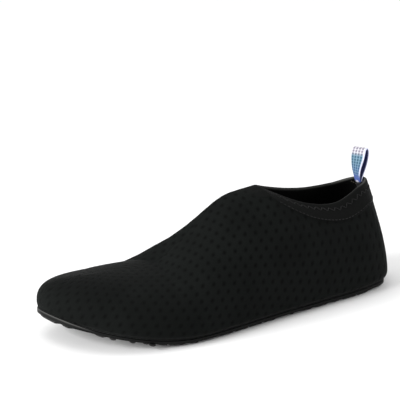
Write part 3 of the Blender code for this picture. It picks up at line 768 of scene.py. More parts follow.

# %% [markdown]
# A table of point numbers joins the rows. Beyond the throat the fold has no place, so the outer
# and the inner side share their ridge points there. The cloth's chart gives each corner its
# place, also where the lattice closes at the heel, so that no face runs back over it all. A
# painted highlight lies on the fold, strongest at the back of the collar and on its inner side.

# %% Join and finish the upper
rows_out = len(base)
fold_end = rows_out + FOLD_ROWS
rows = fold_end + INNER_ROWS
index = np.arange(rows * STATIONS).reshape(rows, STATIONS)
beyond = (station > LAST_STATION) & (mirrored >= THROAT_STATION)
for row in (rows_out - 1, fold_end):
    index[row, beyond] = index[row, mirrored[beyond]]
index[rows_out:fold_end, THROAT_STATION] = index[rows_out:fold_end, -THROAT_STATION]


def span_corners(first, last, spans):
    """Row and column of each quad's corners, for the rows first to last over station spans."""
    r, k = np.meshgrid(np.arange(first, last), spans, indexing="ij")
    pairs = ((r, k), (r, k + 1), (r + 1, k + 1), (r + 1, k))
    return np.stack([np.stack([a, b % STATIONS], -1) for a, b in pairs], axis=2).reshape(-1, 4, 2)


corners = np.concatenate([
    span_corners(0, rows_out - 1, station), span_corners(rows_out - 1, fold_end, open_spans),
    span_corners(fold_end, rows - 1, station),
])
corner_row, corner_column = corners[..., 0], corners[..., 1]
faces = index[corner_row, corner_column]
bottom = np.stack([index[-1], np.roll(index[-1], -1), np.roll(index[0], -1), index[0]], axis=-1)
inner_u, inner_v = cloth_place(TURNS, inner_marks - widest_mark, top_height, section_opening)
fold_steps = np.arange(1, FOLD_ROWS + 1)[:, None]
chart = np.stack([
    np.concatenate([cloth_u.T, cloth_u.T[-1] + 0 * fold_steps, inner_u.T]),
    np.concatenate([cloth_v.T, cloth_v.T[-1] + 0.1 * fold_steps, inner_v.T]),
], axis=-1)
cloth_uv = chart[corner_row, corner_column]
closing = np.ptp(corner_column, axis=1) > 2
cloth_uv[closing, 1] = cloth_uv[closing, 0]
cloth_uv[closing, 2] = cloth_uv[closing, 3]
bottom_uv = np.repeat(chart[0][:, None], 4, axis=1)

# Painted highlight on the fold: stronger on the inner side and at the heel, none where the opening
# closes.
fold_highlight_strength = np.where(TURNS > math.pi, 0.32, 0.16) + 0.6 * smooth((0.17 - section_along) / 0.05)
fold_highlight = np.sin(phi[..., 0]) ** 2 * fold_highlight_strength * (section_opening > 0.002)
upper_marks = {
    "plain": np.concatenate([plain, np.ones((FOLD_ROWS + INNER_ROWS, STATIONS))]).ravel(),
    "painted_highlight": np.concatenate([0 * plain, fold_highlight, np.zeros((INNER_ROWS, STATIONS))]).ravel(),
}
upper = make_piece("upper_knit", np.concatenate([outer, fold, inner]), [faces, bottom],
                   BLACK_KNIT, uv=[cloth_uv, bottom_uv], marks=upper_marks)
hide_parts("upper")

# %% [markdown]
# ## Stitches of the hem
#
# The collar is a folded hem held by a stretch zigzag, whose swing is a little uneven, and by a
# row of short flat stitches along its lower seam. A stitch is a small capsule: a circle carried
# along a low arc whose radius closes at both ends. All the stitches of a row are worked out at
# once, and a row is placed by its distance below the collar edge.


# %% Thread helpers
THREAD_SIDES = 6
THREAD_RINGS = 6
INSIDE_POINT = np.array([LENGTH * 0.2, 0.0, 0.03])


def sew(name, starts, ends, up, radius, lift, finish):
    """Capsules between pairs of points, as one piece.

    Centre = line plus lift * sin(pi t), radius = r * (1 - (2t - 1)^6)^0.5.
    """
    t = np.linspace(0, 1, THREAD_RINGS)[None, :, None]
    centre = starts[:, None] * (1 - t) + ends[:, None] * t + up[:, None] * lift * np.sin(np.pi * t)
    side = unit(np.cross(unit(ends - starts), up))
    over = np.cross(side, unit(ends - starts))
    cosine, sine = circle(THREAD_SIDES).T[:, :, None]
    ring = side[:, None] * cosine + over[:, None] * sine
    size = radius * np.sqrt(np.clip(1 - (2 * t - 1) ** 6, 0.06, 1))
    points = centre[:, :, None] + ring[:, None] * size[:, :, None]
    make_piece(name, points, stack_faces(points.shape[:3]), finish)


def upper_frame(turn, from_top, lift):
    """Points and normals of the outer face at a distance below the collar edge or the ridge."""
    turn = turn % (2 * math.pi)
    ahead = (turn + 0.004) % (2 * math.pi)
    depth = np.broadcast_to(from_top, turn.shape)[:, None]
    mark, mark_ahead = (upper_section(at)[2][:, -1:] - depth for at in (turn, ahead))
    here = on_upper(turn, mark)[:, 0]
    below = on_upper(turn, mark - 0.0006)[:, 0]
    next_to = on_upper(ahead, mark_ahead)[:, 0]
    normal = unit(np.cross(here - below, next_to - here))
    normal *= np.sign((normal * (here - INSIDE_POINT)).sum())
    return here + normal * lift, normal


# %% Sew the hem
STITCH_STEP = 0.0026
STITCH_SWING = 0.0013
SEAM_STITCH = 0.0021
SEAM_LINE = HEM_SEAM - 0.0016
THREAD_RADIUS = 0.00027

scan = np.concatenate([TURNS[-THROAT_STATION:] - 2 * math.pi, TURNS[:THROAT_STATION + 1]])
row_run = running(upper_frame(scan, STITCH_LINE, 0.0)[0])
knot_run = np.linspace(0.002, row_run[-1] - 0.002, int(row_run[-1] / STITCH_STEP))
number = np.arange(len(knot_run))
swing = STITCH_SWING * (-1.0) ** number * (1 + 0.22 * np.sin(2.7 * number))
knots, up = upper_frame(np.interp(knot_run, row_run, scan), STITCH_LINE + swing, HEM_STEP - 0.0001)
sew("hem_stitches", knots[:-1], knots[1:], up[:-1], THREAD_RADIUS, 0.00018, HEM_THREAD)
seam_run = np.arange(0.006, row_run[-1] - 0.008, SEAM_STITCH * 1.35)
(seam_from, up), (seam_to, _) = (
    upper_frame(np.interp(run, row_run, scan), SEAM_LINE, HEM_STEP - 0.00008)
    for run in (seam_run, seam_run + SEAM_STITCH))
sew("seam_stitches", seam_from, seam_to, up, THREAD_RADIUS * 0.8, 0.00006, HEM_THREAD)
print("zigzag and seam stitches:", len(knot_run) - 1, len(seam_run),
      "over", round(row_run[-1] * 1000), "mm")

# %% [markdown]
# ## Rubber and foam
#
# The sole is one matt black rubber with a fine moulded grain and slightly uneven gloss. It comes
# in two copies: a deeper black one, darkened as painted shade, for the body and rim, and a little
# greyer one for the lugs and treads. At the toe the rim's upper corner has a thin pale line, a
# painted highlight. The insole is a dark brushed foam.

# %% Rubber and foam
# Painted highlight: the thin pale line on the rim's upper corner at the toe.
RIM_HIGHLIGHT_TONE = (0.050, 0.050, 0.048)


def rubber_finish(name, dark, light, gloss):
    """Rubber: two near blacks mottled by a noise, a painted highlight line where the piece holds
    one, roughness with them, a fine grain as bump.
    """
    made, tree = start_finish(name, Specular_IOR_Level=gloss)
    spots = noise(tree, 60.0, 4.0)
    mottled = blend_colour(tree, ramp(tree, spots, 0.35, 0.7), dark, light)
    # Where the piece holds a share, a painted highlight colour covers the mottle.
    return dress(made, Base_Color=blend_colour(tree, held(tree, "painted_highlight"), mottled, RIM_HIGHLIGHT_TONE),
                 Roughness=ramp(tree, spots, 0.3, 0.7, 0.46, 0.62),
                 Normal=bump(tree, noise(tree, 1400.0, 2.0), 0.35, 0.00008))


def foam_finish():
    """Foam: two dark greys mixed by a fine nap, which is its bump too."""
    made, tree = start_finish("grey_foam", Roughness=0.95, Sheen_Weight=0.1,
                              Specular_IOR_Level=0.2)
    nap = noise(tree, 1100.0, 3.0)
    return dress(made, Normal=bump(tree, nap, 0.5, 0.00012),
                 Base_Color=blend_colour(tree, nap, (0.010, 0.010, 0.011), (0.026, 0.026, 0.028)))


# One rubber in two copies: the darker one for the sole's body and rim is painted shade.
SHADED_RIM_RUBBER = rubber_finish("shaded_rim_rubber", (0.0030, 0.0032, 0.0031), (0.0052, 0.0054, 0.0052), 0.10)
RUBBER = rubber_finish("black_rubber", (0.0085, 0.0083, 0.0081), (0.0160, 0.0156, 0.0152), 0.18)
FOAM = foam_finish()
print("finishes so far:", len(bpy.data.materials))

# %% [markdown]
# ## The sole's body
#
# The rubber is a thin shell under the foot. Its section runs from the middle of the underside
# out to the rim, round it, over the ledge that carries the upper and back along the floor under
# the insole. At the middle the outer and the inner side share their points.

# %% Build the sole's body
SOLE_STATIONS = 240
FLOOR_RINGS = 11
ARCH_BAND = 0.0140
RIM_ROUND = 0.0007
RIM_CORNER = 0.0004
FLOOR_STEP = 0.0004

outer_side = even_turns(0, math.pi, SOLE_STATIONS + 1)
sole_turns = np.concatenate([outer_side, 2 * math.pi - outer_side[-2:0:-1]])
sole_x, _, sole_share, _, reach, sole_ray_x, _ = (
    part[:, None] for part in rays(sole_turns, False))
arch_rise = arch(sole_turns[:, None], sole_share)
sole_tuck = tuck(sole_share)
edge = sole_tuck - RIM_LIP
ledge = edge + RIM_LIP + WALL + CLEARANCE
top = rim_top(sole_turns[:, None], sole_share, sole_x + sole_ray_x * sole_tuck)


def underside(inset):
    """Height of the underside: lug depth, plus the spring there, plus the arch faded inwards."""
    fade = 1 - smooth((inset - edge) / ARCH_BAND)
    return LUG_DEPTH + spring(sole_x + sole_ray_x * inset) + arch_rise * fade


def lay(inset, height):
    """Points of the sole at insets and heights along each station's level ray."""
    return along_rays(sole_turns, inset, height, False)


def layer(name, parts, finish, angle, line=None):
    """Closed piece from rows of laid points, whose first and last row are joined at the middle.

    line holds a row number and the shares of painted highlight on that row and the two after it.
    """
    grid = np.concatenate(parts, axis=1).transpose(1, 0, 2)
    table = np.arange(grid[..., 0].size).reshape(grid.shape[:2])
    inner_half = np.arange(SOLE_STATIONS + 1, 2 * SOLE_STATIONS)
    for row in (0, -1):
        table[row, inner_half] = table[row, -inner_half]
    painted_highlight = np.zeros(table.shape)
    if line is not None:
        painted_highlight[line[0]:line[0] + 3] = line[1]
    return make_piece(name, grid, [grid_faces(table)], finish, smooth_angle=angle,
                      marks=None if line is None else {"painted_highlight": painted_highlight.ravel()})


inwards = np.linspace(0, 1, FLOOR_RINGS)
start = edge + RIM_ROUND
under = start + (reach - start) * inwards[::-1]
bend = np.radians([22.5, 45, 67.5, 90])
low_inset = edge + RIM_ROUND * (1 - np.sin(bend))
low_height = underside(start) + RIM_ROUND * (1 - np.cos(bend))
low_end = low_height[:, -1:]
wall_height = low_end + (top - RIM_CORNER - low_end) * np.array([0.33, 0.67, 1.0])
high_inset = edge + RIM_CORNER * (1 - np.cos(bend))
high_height = top - RIM_CORNER + RIM_CORNER * np.sin(bend)
floor_start = ledge + FLOOR_STEP
floor_inset = floor_start + (reach - floor_start) * inwards
corner_rows = FLOOR_RINGS + len(bend) + 2
# The rim's upper corner at the toe carries a painted highlight line.
sole_body = layer("sole_body", [
    lay(under, underside(under)), lay(low_inset, low_height),
    lay(edge + 0 * wall_height, wall_height), lay(high_inset, high_height), lay(ledge, top),
    lay(floor_inset, underside(floor_inset) + SOLE_BODY),
], SHADED_RIM_RUBBER, 40, (corner_rows, smooth((sole_share[:, 0] - 0.945) / 0.025)))
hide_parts("outsole")

# %% [markdown]
# ## The insole
#
# A foam sheet lies on the sole's floor, rounded at its upper edge.

# %% Build the insole
INSOLE_THICKNESS = 0.0030
INSOLE_ROUND = 0.0008

insole_edge = ledge + FLOOR_STEP + CLEARANCE
low = SOLE_BODY + CLEARANCE
high = low + INSOLE_THICKNESS
sheet = insole_edge + (reach - insole_edge) * inwards[::-1]
rounded = insole_edge + INSOLE_ROUND * (1 - np.cos(bend))
rounded_height = underside(rounded) + high - INSOLE_ROUND * (1 - np.sin(bend))
topside = insole_edge + INSOLE_ROUND + (reach - insole_edge - INSOLE_ROUND) * inwards[1:]
insole = layer("insole_foam", [
    lay(sheet, underside(sheet) + low),
    lay(insole_edge, underside(insole_edge) + high - INSOLE_ROUND),
    lay(rounded, rounded_height), lay(topside, underside(topside) + high),
], FOAM, 50)
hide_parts("insole")

# %% [markdown]
# ## The tread field
#
# Flat hexagon lugs cover the outer side and the heel. Each one is a low six-sided block with a
# bevelled rim and a shallow dimple. The blocks at the border are trimmed by the field's outline
# and by the moats round the pods, so a lug is worked out as a star: from its middle, 36
# directions reach out until they leave the hexagon, the field, or enter a moat.

# %% Tread sizes
HEX_PITCH = 0.0123
HEX_ROW = 0.0096
HEX_GROOVE = 0.0011
HEX_TILT = math.radians(-2.2)
TREAD_MARGIN = 0.0022
POD_GROOVE = 0.0012
POD_FLOOR = 0.0009
DOME_SINK = 0.0004
BAR_WIDTH = 0.0038
LUG_ROOT = 0.0010

# Columns: share of the length from the heel, place across as a share of the ball width, outer
# radius, inner radius, kind.
PODS = (
    (0.119, -0.058, 0.0178, 0.0146, "cup"), (0.238, -0.281, 0.0087, 0.0062, "cup"),
    (0.240, -0.007, 0.0069, 0.0049, "dome"), (0.320, -0.113, 0.0069, 0.0049, "dome"),
    (0.416, -0.126, 0.0069, 0.0049, "dome"), (0.515, -0.093, 0.0076, 0.0049, "cup"),
    (0.612, 0.016, 0.0115, 0.0097, "disc"), (0.672, -0.331, 0.0108, 0.0083, "cup"),
    (0.747, 0.130, 0.0164, 0.0139, "cup"),
)
# Columns: share of the length, place across as a share of the ball width.
TOE_BAR = np.array(((0.772, -0.447), (0.815, -0.291), (0.853, -0.077), (0.877, 0.136),
                    (0.897, 0.428)))
TOE_STRIPS = (
    ((0.858, -0.312), (0.893, -0.363), 0.0052), ((0.884, -0.127), (0.945, -0.180), 0.0059),
    ((0.908, 0.039), (0.980, 0.034), 0.0062),
)
TOE_PLATE = np.array(((0.935, 0.110, 0.300), (0.950, 0.108, 0.430), (0.970, 0.106, 0.430),
                      (0.995, 0.104, 0.350)))
TOE_BUTTONS = np.array((
    (0.859, -0.315), (0.889, -0.132), (0.911, 0.039), (0.829, -0.354), (0.853, -0.195),
    (0.901, -0.245), (0.930, -0.064), (0.877, -0.019), (0.904, 0.227), (0.922, 0.385),
    (0.822, -0.409),
))
FIELD_EDGE = np.array((
    (0.273, 0.136), (0.329, 0.027), (0.384, 0.019), (0.440, 0.016), (0.495, 0.039),
    (0.523, 0.097), (0.579, 0.144), (0.606, 0.230), (0.690, 0.315), (0.759, 0.370),
    (0.829, 0.370), (0.884, 0.424),
))


# %% [markdown]
# Places on the tread are shares of the length and of the ball width, as in the tables. The
# tread's outline lies a little inside the sole's edge, and all depths count from the plane of
# the lugs, which the toe spring lifts.


# %% Places on the tread
def plan_points(shares):
    """Plan places from shares of the length and of the ball width."""
    shares = np.atleast_2d(shares)
    return np.stack([LENGTH * (0.5 - shares[:, 0]), shares[:, 1] * BALL_WIDTH], axis=1)


def edge_places(turn, further=0.0):
    """Plan places on the tread's outline, or further in, along the sole's rays."""
    inset = tuck(plan(turn)[2]) + TREAD_MARGIN - RIM_LIP + further
    return along_rays(turn, inset[:, None], 0.0, False)[:, 0, :2]


def on_tread(places, depth):
    """Points from plan places and depths below the sole's tread plane, lifted by the spring."""
    return np.concatenate([places, (depth + spring(places[..., 0]))[..., None]], axis=-1)


def moulded(name, points, angle):
    """Rubber piece of closed stacks of rings."""
    make_piece(name, points, stack_faces(points.shape[:3]), RUBBER,
               smooth_angle=angle)


def staggered(columns, rows, pitch, row_pitch):
    """Places of a lattice whose every other row is shifted by half a pitch."""
    step, row = np.meshgrid(columns, rows)
    return np.stack([(step + 0.5 * (row % 2)) * pitch, row * row_pitch], axis=-1).reshape(-1, 2)


def inside(places, polygon):
    """Whether plan places lie in a polygon: an odd number of its edges is crossed to one side."""
    x, y = places[..., 0, None], places[..., 1, None]
    x0, y0 = polygon[:, 0], polygon[:, 1]
    x1, y1 = np.roll(x0, -1), np.roll(y0, -1)
    spans = (y0 > y) != (y1 > y)
    slope = (x1 - x0) / np.where(y1 == y0, 1e-12, y1 - y0)
    return (spans & (x < x0 + (y - y0) * slope)).sum(axis=-1) % 2 == 1


heel_part = np.linspace(math.acos(1 - 2 * 0.25), 0, 24)[:-1]
outer_part = np.linspace(0, math.acos(1 - 2 * 0.80), 70)
bar_edge = plan_points(TOE_BAR[1:]) + np.array([BAR_WIDTH / 2 + POD_GROOVE, 0.0])
FIELD = np.concatenate([edge_places(2 * math.pi - heel_part), edge_places(outer_part), bar_edge,
                        plan_points(FIELD_EDGE[-2::-1])])
TREAD = edge_places(sole_turns)
POD_PLACES = plan_points([pod[:2] for pod in PODS])
POD_RADII = np.array([pod[2] for pod in PODS])
print("pods:", len(PODS), "field outline points:", len(FIELD))

# %% Build the hexagon lugs
DIRECTIONS = 36
MARCH = 44
HEX_REACH = 0.0072
LEAST_SHARE = 0.16
# Columns: share of the reach, distance taken off it, depth below the sole's tread plane.
LUG_PROFILE = np.array((
    (1.00, 0.00000, LUG_DEPTH + LUG_ROOT), (1.00, 0.00000, 0.00035), (1.00, 0.00012, 0.00010),
    (1.00, 0.00040, 0.00000), (0.62, 0.00000, 0.00000), (0.50, 0.00000, 0.00016),
    (0.22, 0.00000, 0.00022),
))


def in_hexagon(offsets):
    """Whether offsets from a hexagon's middle lie inside it: three pairs of parallel sides."""
    half_flat = (HEX_PITCH - HEX_GROOVE) / 2
    point = (HEX_ROW * 4 / 3 - HEX_GROOVE * 1.155) / 2
    x, y = np.abs(offsets[..., 0]), np.abs(offsets[..., 1])
    return (x <= half_flat) & (y <= point - x * (point / 2) / half_flat)


def free(places):
    """Whether plan places are in the field and outside every moat."""
    away = np.hypot(*(places[..., None, i] - POD_PLACES[:, i] for i in (0, 1)))
    return inside(places, FIELD) & (away > POD_RADII + POD_GROOVE).all(axis=-1)


flat = staggered(np.arange(-13, 14), np.arange(-7, 8), HEX_PITCH, HEX_ROW)
cosine, sine = math.cos(HEX_TILT), math.sin(HEX_TILT)
tilt = np.array([[cosine, sine], [-sine, cosine]])
spread = np.linspace(-HEX_REACH, HEX_REACH, 21)
offsets = np.stack(np.meshgrid(spread, spread), axis=-1).reshape(-1, 2)
samples = (flat[:, None] + offsets[in_hexagon(offsets)][None]) @ tilt
good = free(samples)
kept = good.mean(axis=1) > LEAST_SHARE
flat, samples, good = flat[kept], samples[kept], good[kept]
middles = (samples * good[..., None]).sum(axis=1) / good.sum(axis=1)[:, None]
middles = np.where(good.all(axis=1)[:, None], flat @ tilt, middles)
fits = free(middles)
flat, middles = flat[fits], middles[fits]
ahead = circle(DIRECTIONS, HEX_TILT)
distance = np.linspace(0, 2 * HEX_REACH, MARCH)[1:, None]
probe = middles[:, None, None] + ahead[:, None] * distance
valid = in_hexagon(probe @ tilt.T - flat[:, None, None]) & free(probe)
reached = (np.cumprod(valid, axis=2).sum(axis=2) + 0.5) * distance[0]
reached = (np.roll(reached, 1, axis=1) + 6 * reached + np.roll(reached, -1, axis=1)) / 8
lug_share, lug_cut, lug_depth = LUG_PROFILE.T[:, :, None]
ring_reach = np.maximum(reached[:, None] * lug_share - lug_cut, 0.0002)
lug_points = on_tread(middles[:, None, None] + ahead * ring_reach[..., None], lug_depth)
moulded("hex_lugs", lug_points, 35)
print("hexagon lugs:", len(lug_points))

# %% [markdown]
# ## Pods, nubs and toe treads
#
# Nine round pods stand in the field: cups with a raised ring and a floor of fine nubs, small
# domes, and one plain disc. They are turned profiles. In front of the ball a curved bar crosses
# the toe, with three short strips, a corner plate and small round buttons beyond it.

# %% Build the pods
POD_SEGMENTS = 64
# Columns: distance in from a block's side, depth below the tread plane.
BLOCK_EDGE = np.array(((0.0, LUG_DEPTH + LUG_ROOT), (0.0, 0.0004), (0.00012, 0.00012),
                       (0.0004, 0.0)))
# Columns: share of a pod's inner radius, distance added to it, depth below the tread plane.
POD_FORMS = {
    "disc": ((1.0, 0.0003, 0.0), (1.0, 0.0, 0.0002), (1.0, -0.0004, 0.00095),
             (1.0, -0.0010, 0.00095), (1.0, -0.0013, 0.0006), (1.0, -0.0018, DOME_SINK),
             (0.4, 0.0, DOME_SINK), (0.05, 0.0, DOME_SINK)),
    "cup": ((1.0, 0.0003, 0.0), (1.0, 0.0, 0.0002), (1.0, -0.0005, 0.0006),
            (1.0, -0.0010, POD_FLOOR), (0.75, 0.0, POD_FLOOR), (0.5, 0.0, POD_FLOOR),
            (0.25, 0.0, POD_FLOOR), (0.05, 0.0, POD_FLOOR)),
    "dome": ((1.0, 0.0008, 0.0), (1.0, 0.0005, 0.0003), (1.0, 0.0002, POD_FLOOR),
             (0.9, 0.0, POD_FLOOR * 0.9), (0.75, 0.0, 0.0005), (0.55, 0.0, 0.0002),
             (0.3, 0.0, 0.00005), (0.04, 0.0, 0.0)),
}

profiles = np.array([
    [(outer_radius - cut, depth) for cut, depth in BLOCK_EDGE]
    + [(share * inner_radius + extra, depth) for share, extra, depth in POD_FORMS[kind]]
    for _, _, outer_radius, inner_radius, kind in PODS])
pod_rings = circle(POD_SEGMENTS) * profiles[:, :, 0, None, None]
pod_points = on_tread(POD_PLACES[:, None, None] + pod_rings, profiles[:, :, 1, None])
moulded("tread_pods", pod_points, 35)

# %% [markdown]
# The nubs on the cups' floors, the toe's buttons and the plate's nubs are all domes of a few
# rings, so one function makes each kind as one piece.


# %% Build the nubs and buttons
def domes(name, places, radius, base, height, sides, angle):
    """Round domes under plan places: rings at radius * cos(a), base - height * sin(a)."""
    rise_angle = np.radians([0, 0, 30, 58, 84])
    ring_depth = base - height * np.sin(rise_angle)
    ring_depth[0] += 0.0006
    rings = circle(sides) * (radius * np.cos(rise_angle))[:, None, None]
    moulded(name, on_tread(places[:, None, None] + rings, ring_depth[:, None]), angle)
    print(name, "domes:", len(places))


NUB_PITCH = 0.0024
PLATE_PITCH = 0.0040
PLATE_NUB_ROOM = 0.0016

nub_offsets = staggered(np.arange(-7, 8), np.arange(-8, 9), NUB_PITCH, NUB_PITCH * 0.866)
cups = np.array([kind == "cup" for *_, kind in PODS])
cup_floor = np.array([pod[3] for pod in PODS])[cups] - 0.0020
fitting = np.hypot(*nub_offsets.T)[None] < cup_floor[:, None]
nub_places = (POD_PLACES[cups][:, None] + nub_offsets[None])[fitting]
plate_start = np.array([LENGTH * (0.5 - 0.945), 0.0125])
plate_across, plate_along = staggered(np.arange(8), np.arange(4), PLATE_PITCH, PLATE_PITCH).T
plate_places = plate_start + np.stack([-plate_along, plate_across], axis=1)
plate_places = plate_places[inside(plate_places, edge_places(sole_turns, PLATE_NUB_ROOM))]
domes("pod_nubs", nub_places, 0.00098, POD_FLOOR + 0.0001, 0.0006, 8, 60)
domes("toe_buttons", plan_points(TOE_BUTTONS), 0.0022, 0.0011, 0.0011, 24, 50)
domes("toe_plate_nubs", plate_places, 0.0014, 0.0001, 0.00045, 12, 50)

# %% [markdown]
# The bar and the strips follow smooth curves and end rounded; the plate fills the corner between
# a straight edge and the rim. Each is a beam between two edges with bevelled lower corners.


# %% Build the toe bar, strips and plate
def beam(left, right):
    """A bar between two plan edges: a section of eight points with bevelled lower corners."""
    across = unit(right - left)[:, None]
    cut, depth = BLOCK_EDGE.T[:, :, None]
    places = np.concatenate([left[:, None] + across * cut, right[:, None] - across * cut[::-1]],
                            axis=1)
    return on_tread(places, np.concatenate([depth, depth[::-1]])[:, 0])


def along_curve(table, width, count):
    """Left and right edges of a bar of one width along a smooth curve through plan places."""
    places = plan_points(table)
    knots = np.linspace(0, 1, len(places))
    t = np.linspace(0, 1, count)
    line = np.stack([curve(t, knots, places[:, i]) for i in (0, 1)], axis=1)
    heading = unit(np.gradient(line, axis=0))
    side = np.stack([-heading[:, 1], heading[:, 0]], axis=1)
    to_end = np.minimum(np.arange(count), np.arange(count)[::-1]) * np.hypot(*(line[1] - line[0]))
    rounding = np.sqrt(np.clip(1 - (1 - np.clip(to_end / 0.0012, 0, 1)) ** 2, 0.12, 1))
    reach_out = side * (width / 2 * rounding)[:, None]
    inner = inside(line + reach_out, TREAD) & inside(line - reach_out, TREAD)
    return (line + reach_out)[inner], (line - reach_out)[inner]


plate_share = np.linspace(TOE_PLATE[0, 0], TOE_PLATE[-1, 0], 40)
plate_x = LENGTH * (0.5 - plate_share)
plate_outer, plate_inner = (
    np.interp(plate_share, TOE_PLATE[:, 0], TOE_PLATE[:, i]) * BALL_WIDTH for i in (1, 2))
inner_rim = TREAD[sole_turns > math.pi]
plate_inner = np.minimum(plate_inner, np.interp(plate_x, inner_rim[:, 0], inner_rim[:, 1]))
wide = (plate_inner - plate_outer > 0.002) & (plate_x > TREAD[:, 0].min())
plate_edges = (np.stack([plate_x, y], axis=1)[wide] for y in (plate_outer, plate_inner))
beams = [beam(*along_curve(TOE_BAR, BAR_WIDTH, 90))]
beams += [beam(*along_curve(ends, width, 40)) for *ends, width in TOE_STRIPS]
beams.append(beam(*plate_edges))
starts = np.cumsum([0] + [part[..., 0].size for part in beams])
faces = [[f + first for f in stack_faces((1, *part.shape[:2]))]
         for part, first in zip(beams, starts)]
make_piece("toe_treads", np.concatenate([part.reshape(-1, 3) for part in beams]),
           [np.concatenate(group) for group in zip(*faces)], RUBBER,
           smooth_angle=35)

# %% [markdown]
# ## Pull loop
#
# A short woven tape is sewn inside the back of the collar and stands up as a drop-shaped loop,
# pinched at its foot and turned a little towards the outer side. Its section is a flat rounded
# band. The UV map runs once round the band and counts millimetres along it, so the shader can
# tell the faces and the stretches apart: teal checks on a pale blue face, a white crown with
# grey-mauve marks, the white a painted highlight where the tape bends over, a blue foot, pale
# selvages and a navy inner face, its darkness partly painted shade. Near both ends the tape is
# painted near black.

# %% Tape finish
TAPE_WIDTH = 0.0095
TAPE_THICKNESS = 0.0009
TAPE_RUN = 67.3
WEAVE_ROW = 1.9
WEAVE_COLUMNS = 4.55


def tape_finish():
    """Woven tape: checks are the product of a pulse across the columns and one along the rows."""
    made, tree = start_finish("blue_tape", Roughness=0.6, Sheen_Weight=0.08,
                              Specular_IOR_Level=0.2)

    def times(a, b):
        return maths(tree, "MULTIPLY", a, b)

    def off_middle(value):
        return maths(tree, "ABSOLUTE", maths(tree, "SUBTRACT", value, 0.5))

    place = split(tree, place_of(tree, "UV"))
    across, along = times(place[0], 2.0), place[1]
    column, row = times(across, WEAVE_COLUMNS), maths(tree, "DIVIDE", along, WEAVE_ROW)
    in_column, in_row = (off_middle(maths(tree, "FRACT", part)) for part in (column, row))
    check = times(ramp(tree, in_column, 0.32, 0.42, 1.0, 0.0),
                  ramp(tree, in_row, 0.26, 0.40, 1.0, 0.45))
    # Painted highlight: the white crown where the tape bends over the top.
    crown = times(ramp(tree, along, 28.0, 33.0), ramp(tree, along, 37.5, 40.5, 1.0, 0.0))
    tone = blend_colour(tree, ramp(tree, along, 43.0, 52.0), (0.035, 0.10, 0.15),
                        (0.022, 0.07, 0.21))
    tone = blend_colour(tree, crown, tone, (0.22, 0.20, 0.25))
    ground = blend_colour(tree, crown, (0.20, 0.32, 0.42), (0.68, 0.68, 0.72))
    colour = blend_colour(tree, check, ground, tone)
    # About the last 9 mm at both ends of the tape are painted near black.
    to_middle = maths(tree, "ABSOLUTE", maths(tree, "SUBTRACT", along, TAPE_RUN / 2))
    near_black_ends = ramp(tree, to_middle, TAPE_RUN / 2 - 9.4, TAPE_RUN / 2 - 8.6)
    for share, over in (
            (ramp(tree, across, 0.875, 0.91), (0.62, 0.64, 0.84)),
            (ramp(tree, along, 52.0, 56.0), (0.08, 0.13, 0.40)),
            # Navy inner face, its darkness partly painted shade.
            (ramp(tree, across, 1.02, 1.08), (0.008, 0.014, 0.085)),
            (near_black_ends, (0.006, 0.006, 0.007))):
        colour = blend_colour(tree, share, colour, over)
    weave = times(*(maths(tree, "SINE", times(part, 4 * math.pi)) for part in (column, row)))
    return dress(made, Base_Color=colour, Normal=bump(tree, weave, 0.7, 0.00012))


TAPE = tape_finish()
PALE_THREAD, _ = start_finish("pale_thread", Roughness=0.6, Sheen_Weight=0.2,
                              Base_Color=(0.42, 0.43, 0.52, 1.0))
BEIGE_THREAD, _ = start_finish("beige_thread", Roughness=0.7, Sheen_Weight=0.1,
                               Base_Color=(0.075, 0.062, 0.036, 1.0))
print("finishes:", len(bpy.data.materials))

# %% [markdown]
# The loop's line goes up the inside of the heel, round a drop and down beside itself. At its foot
# it keeps clear of the collar, which curves towards it on both sides.

# %% The loop's line
LOOP_HEIGHT = 0.0215
LOOP_OPENING = 0.0064
LOOP_LEG = 0.0100
LOOP_PINCH = 0.62
LOOP_LEAN = 0.0014
LOOP_TWIST = math.radians(27)


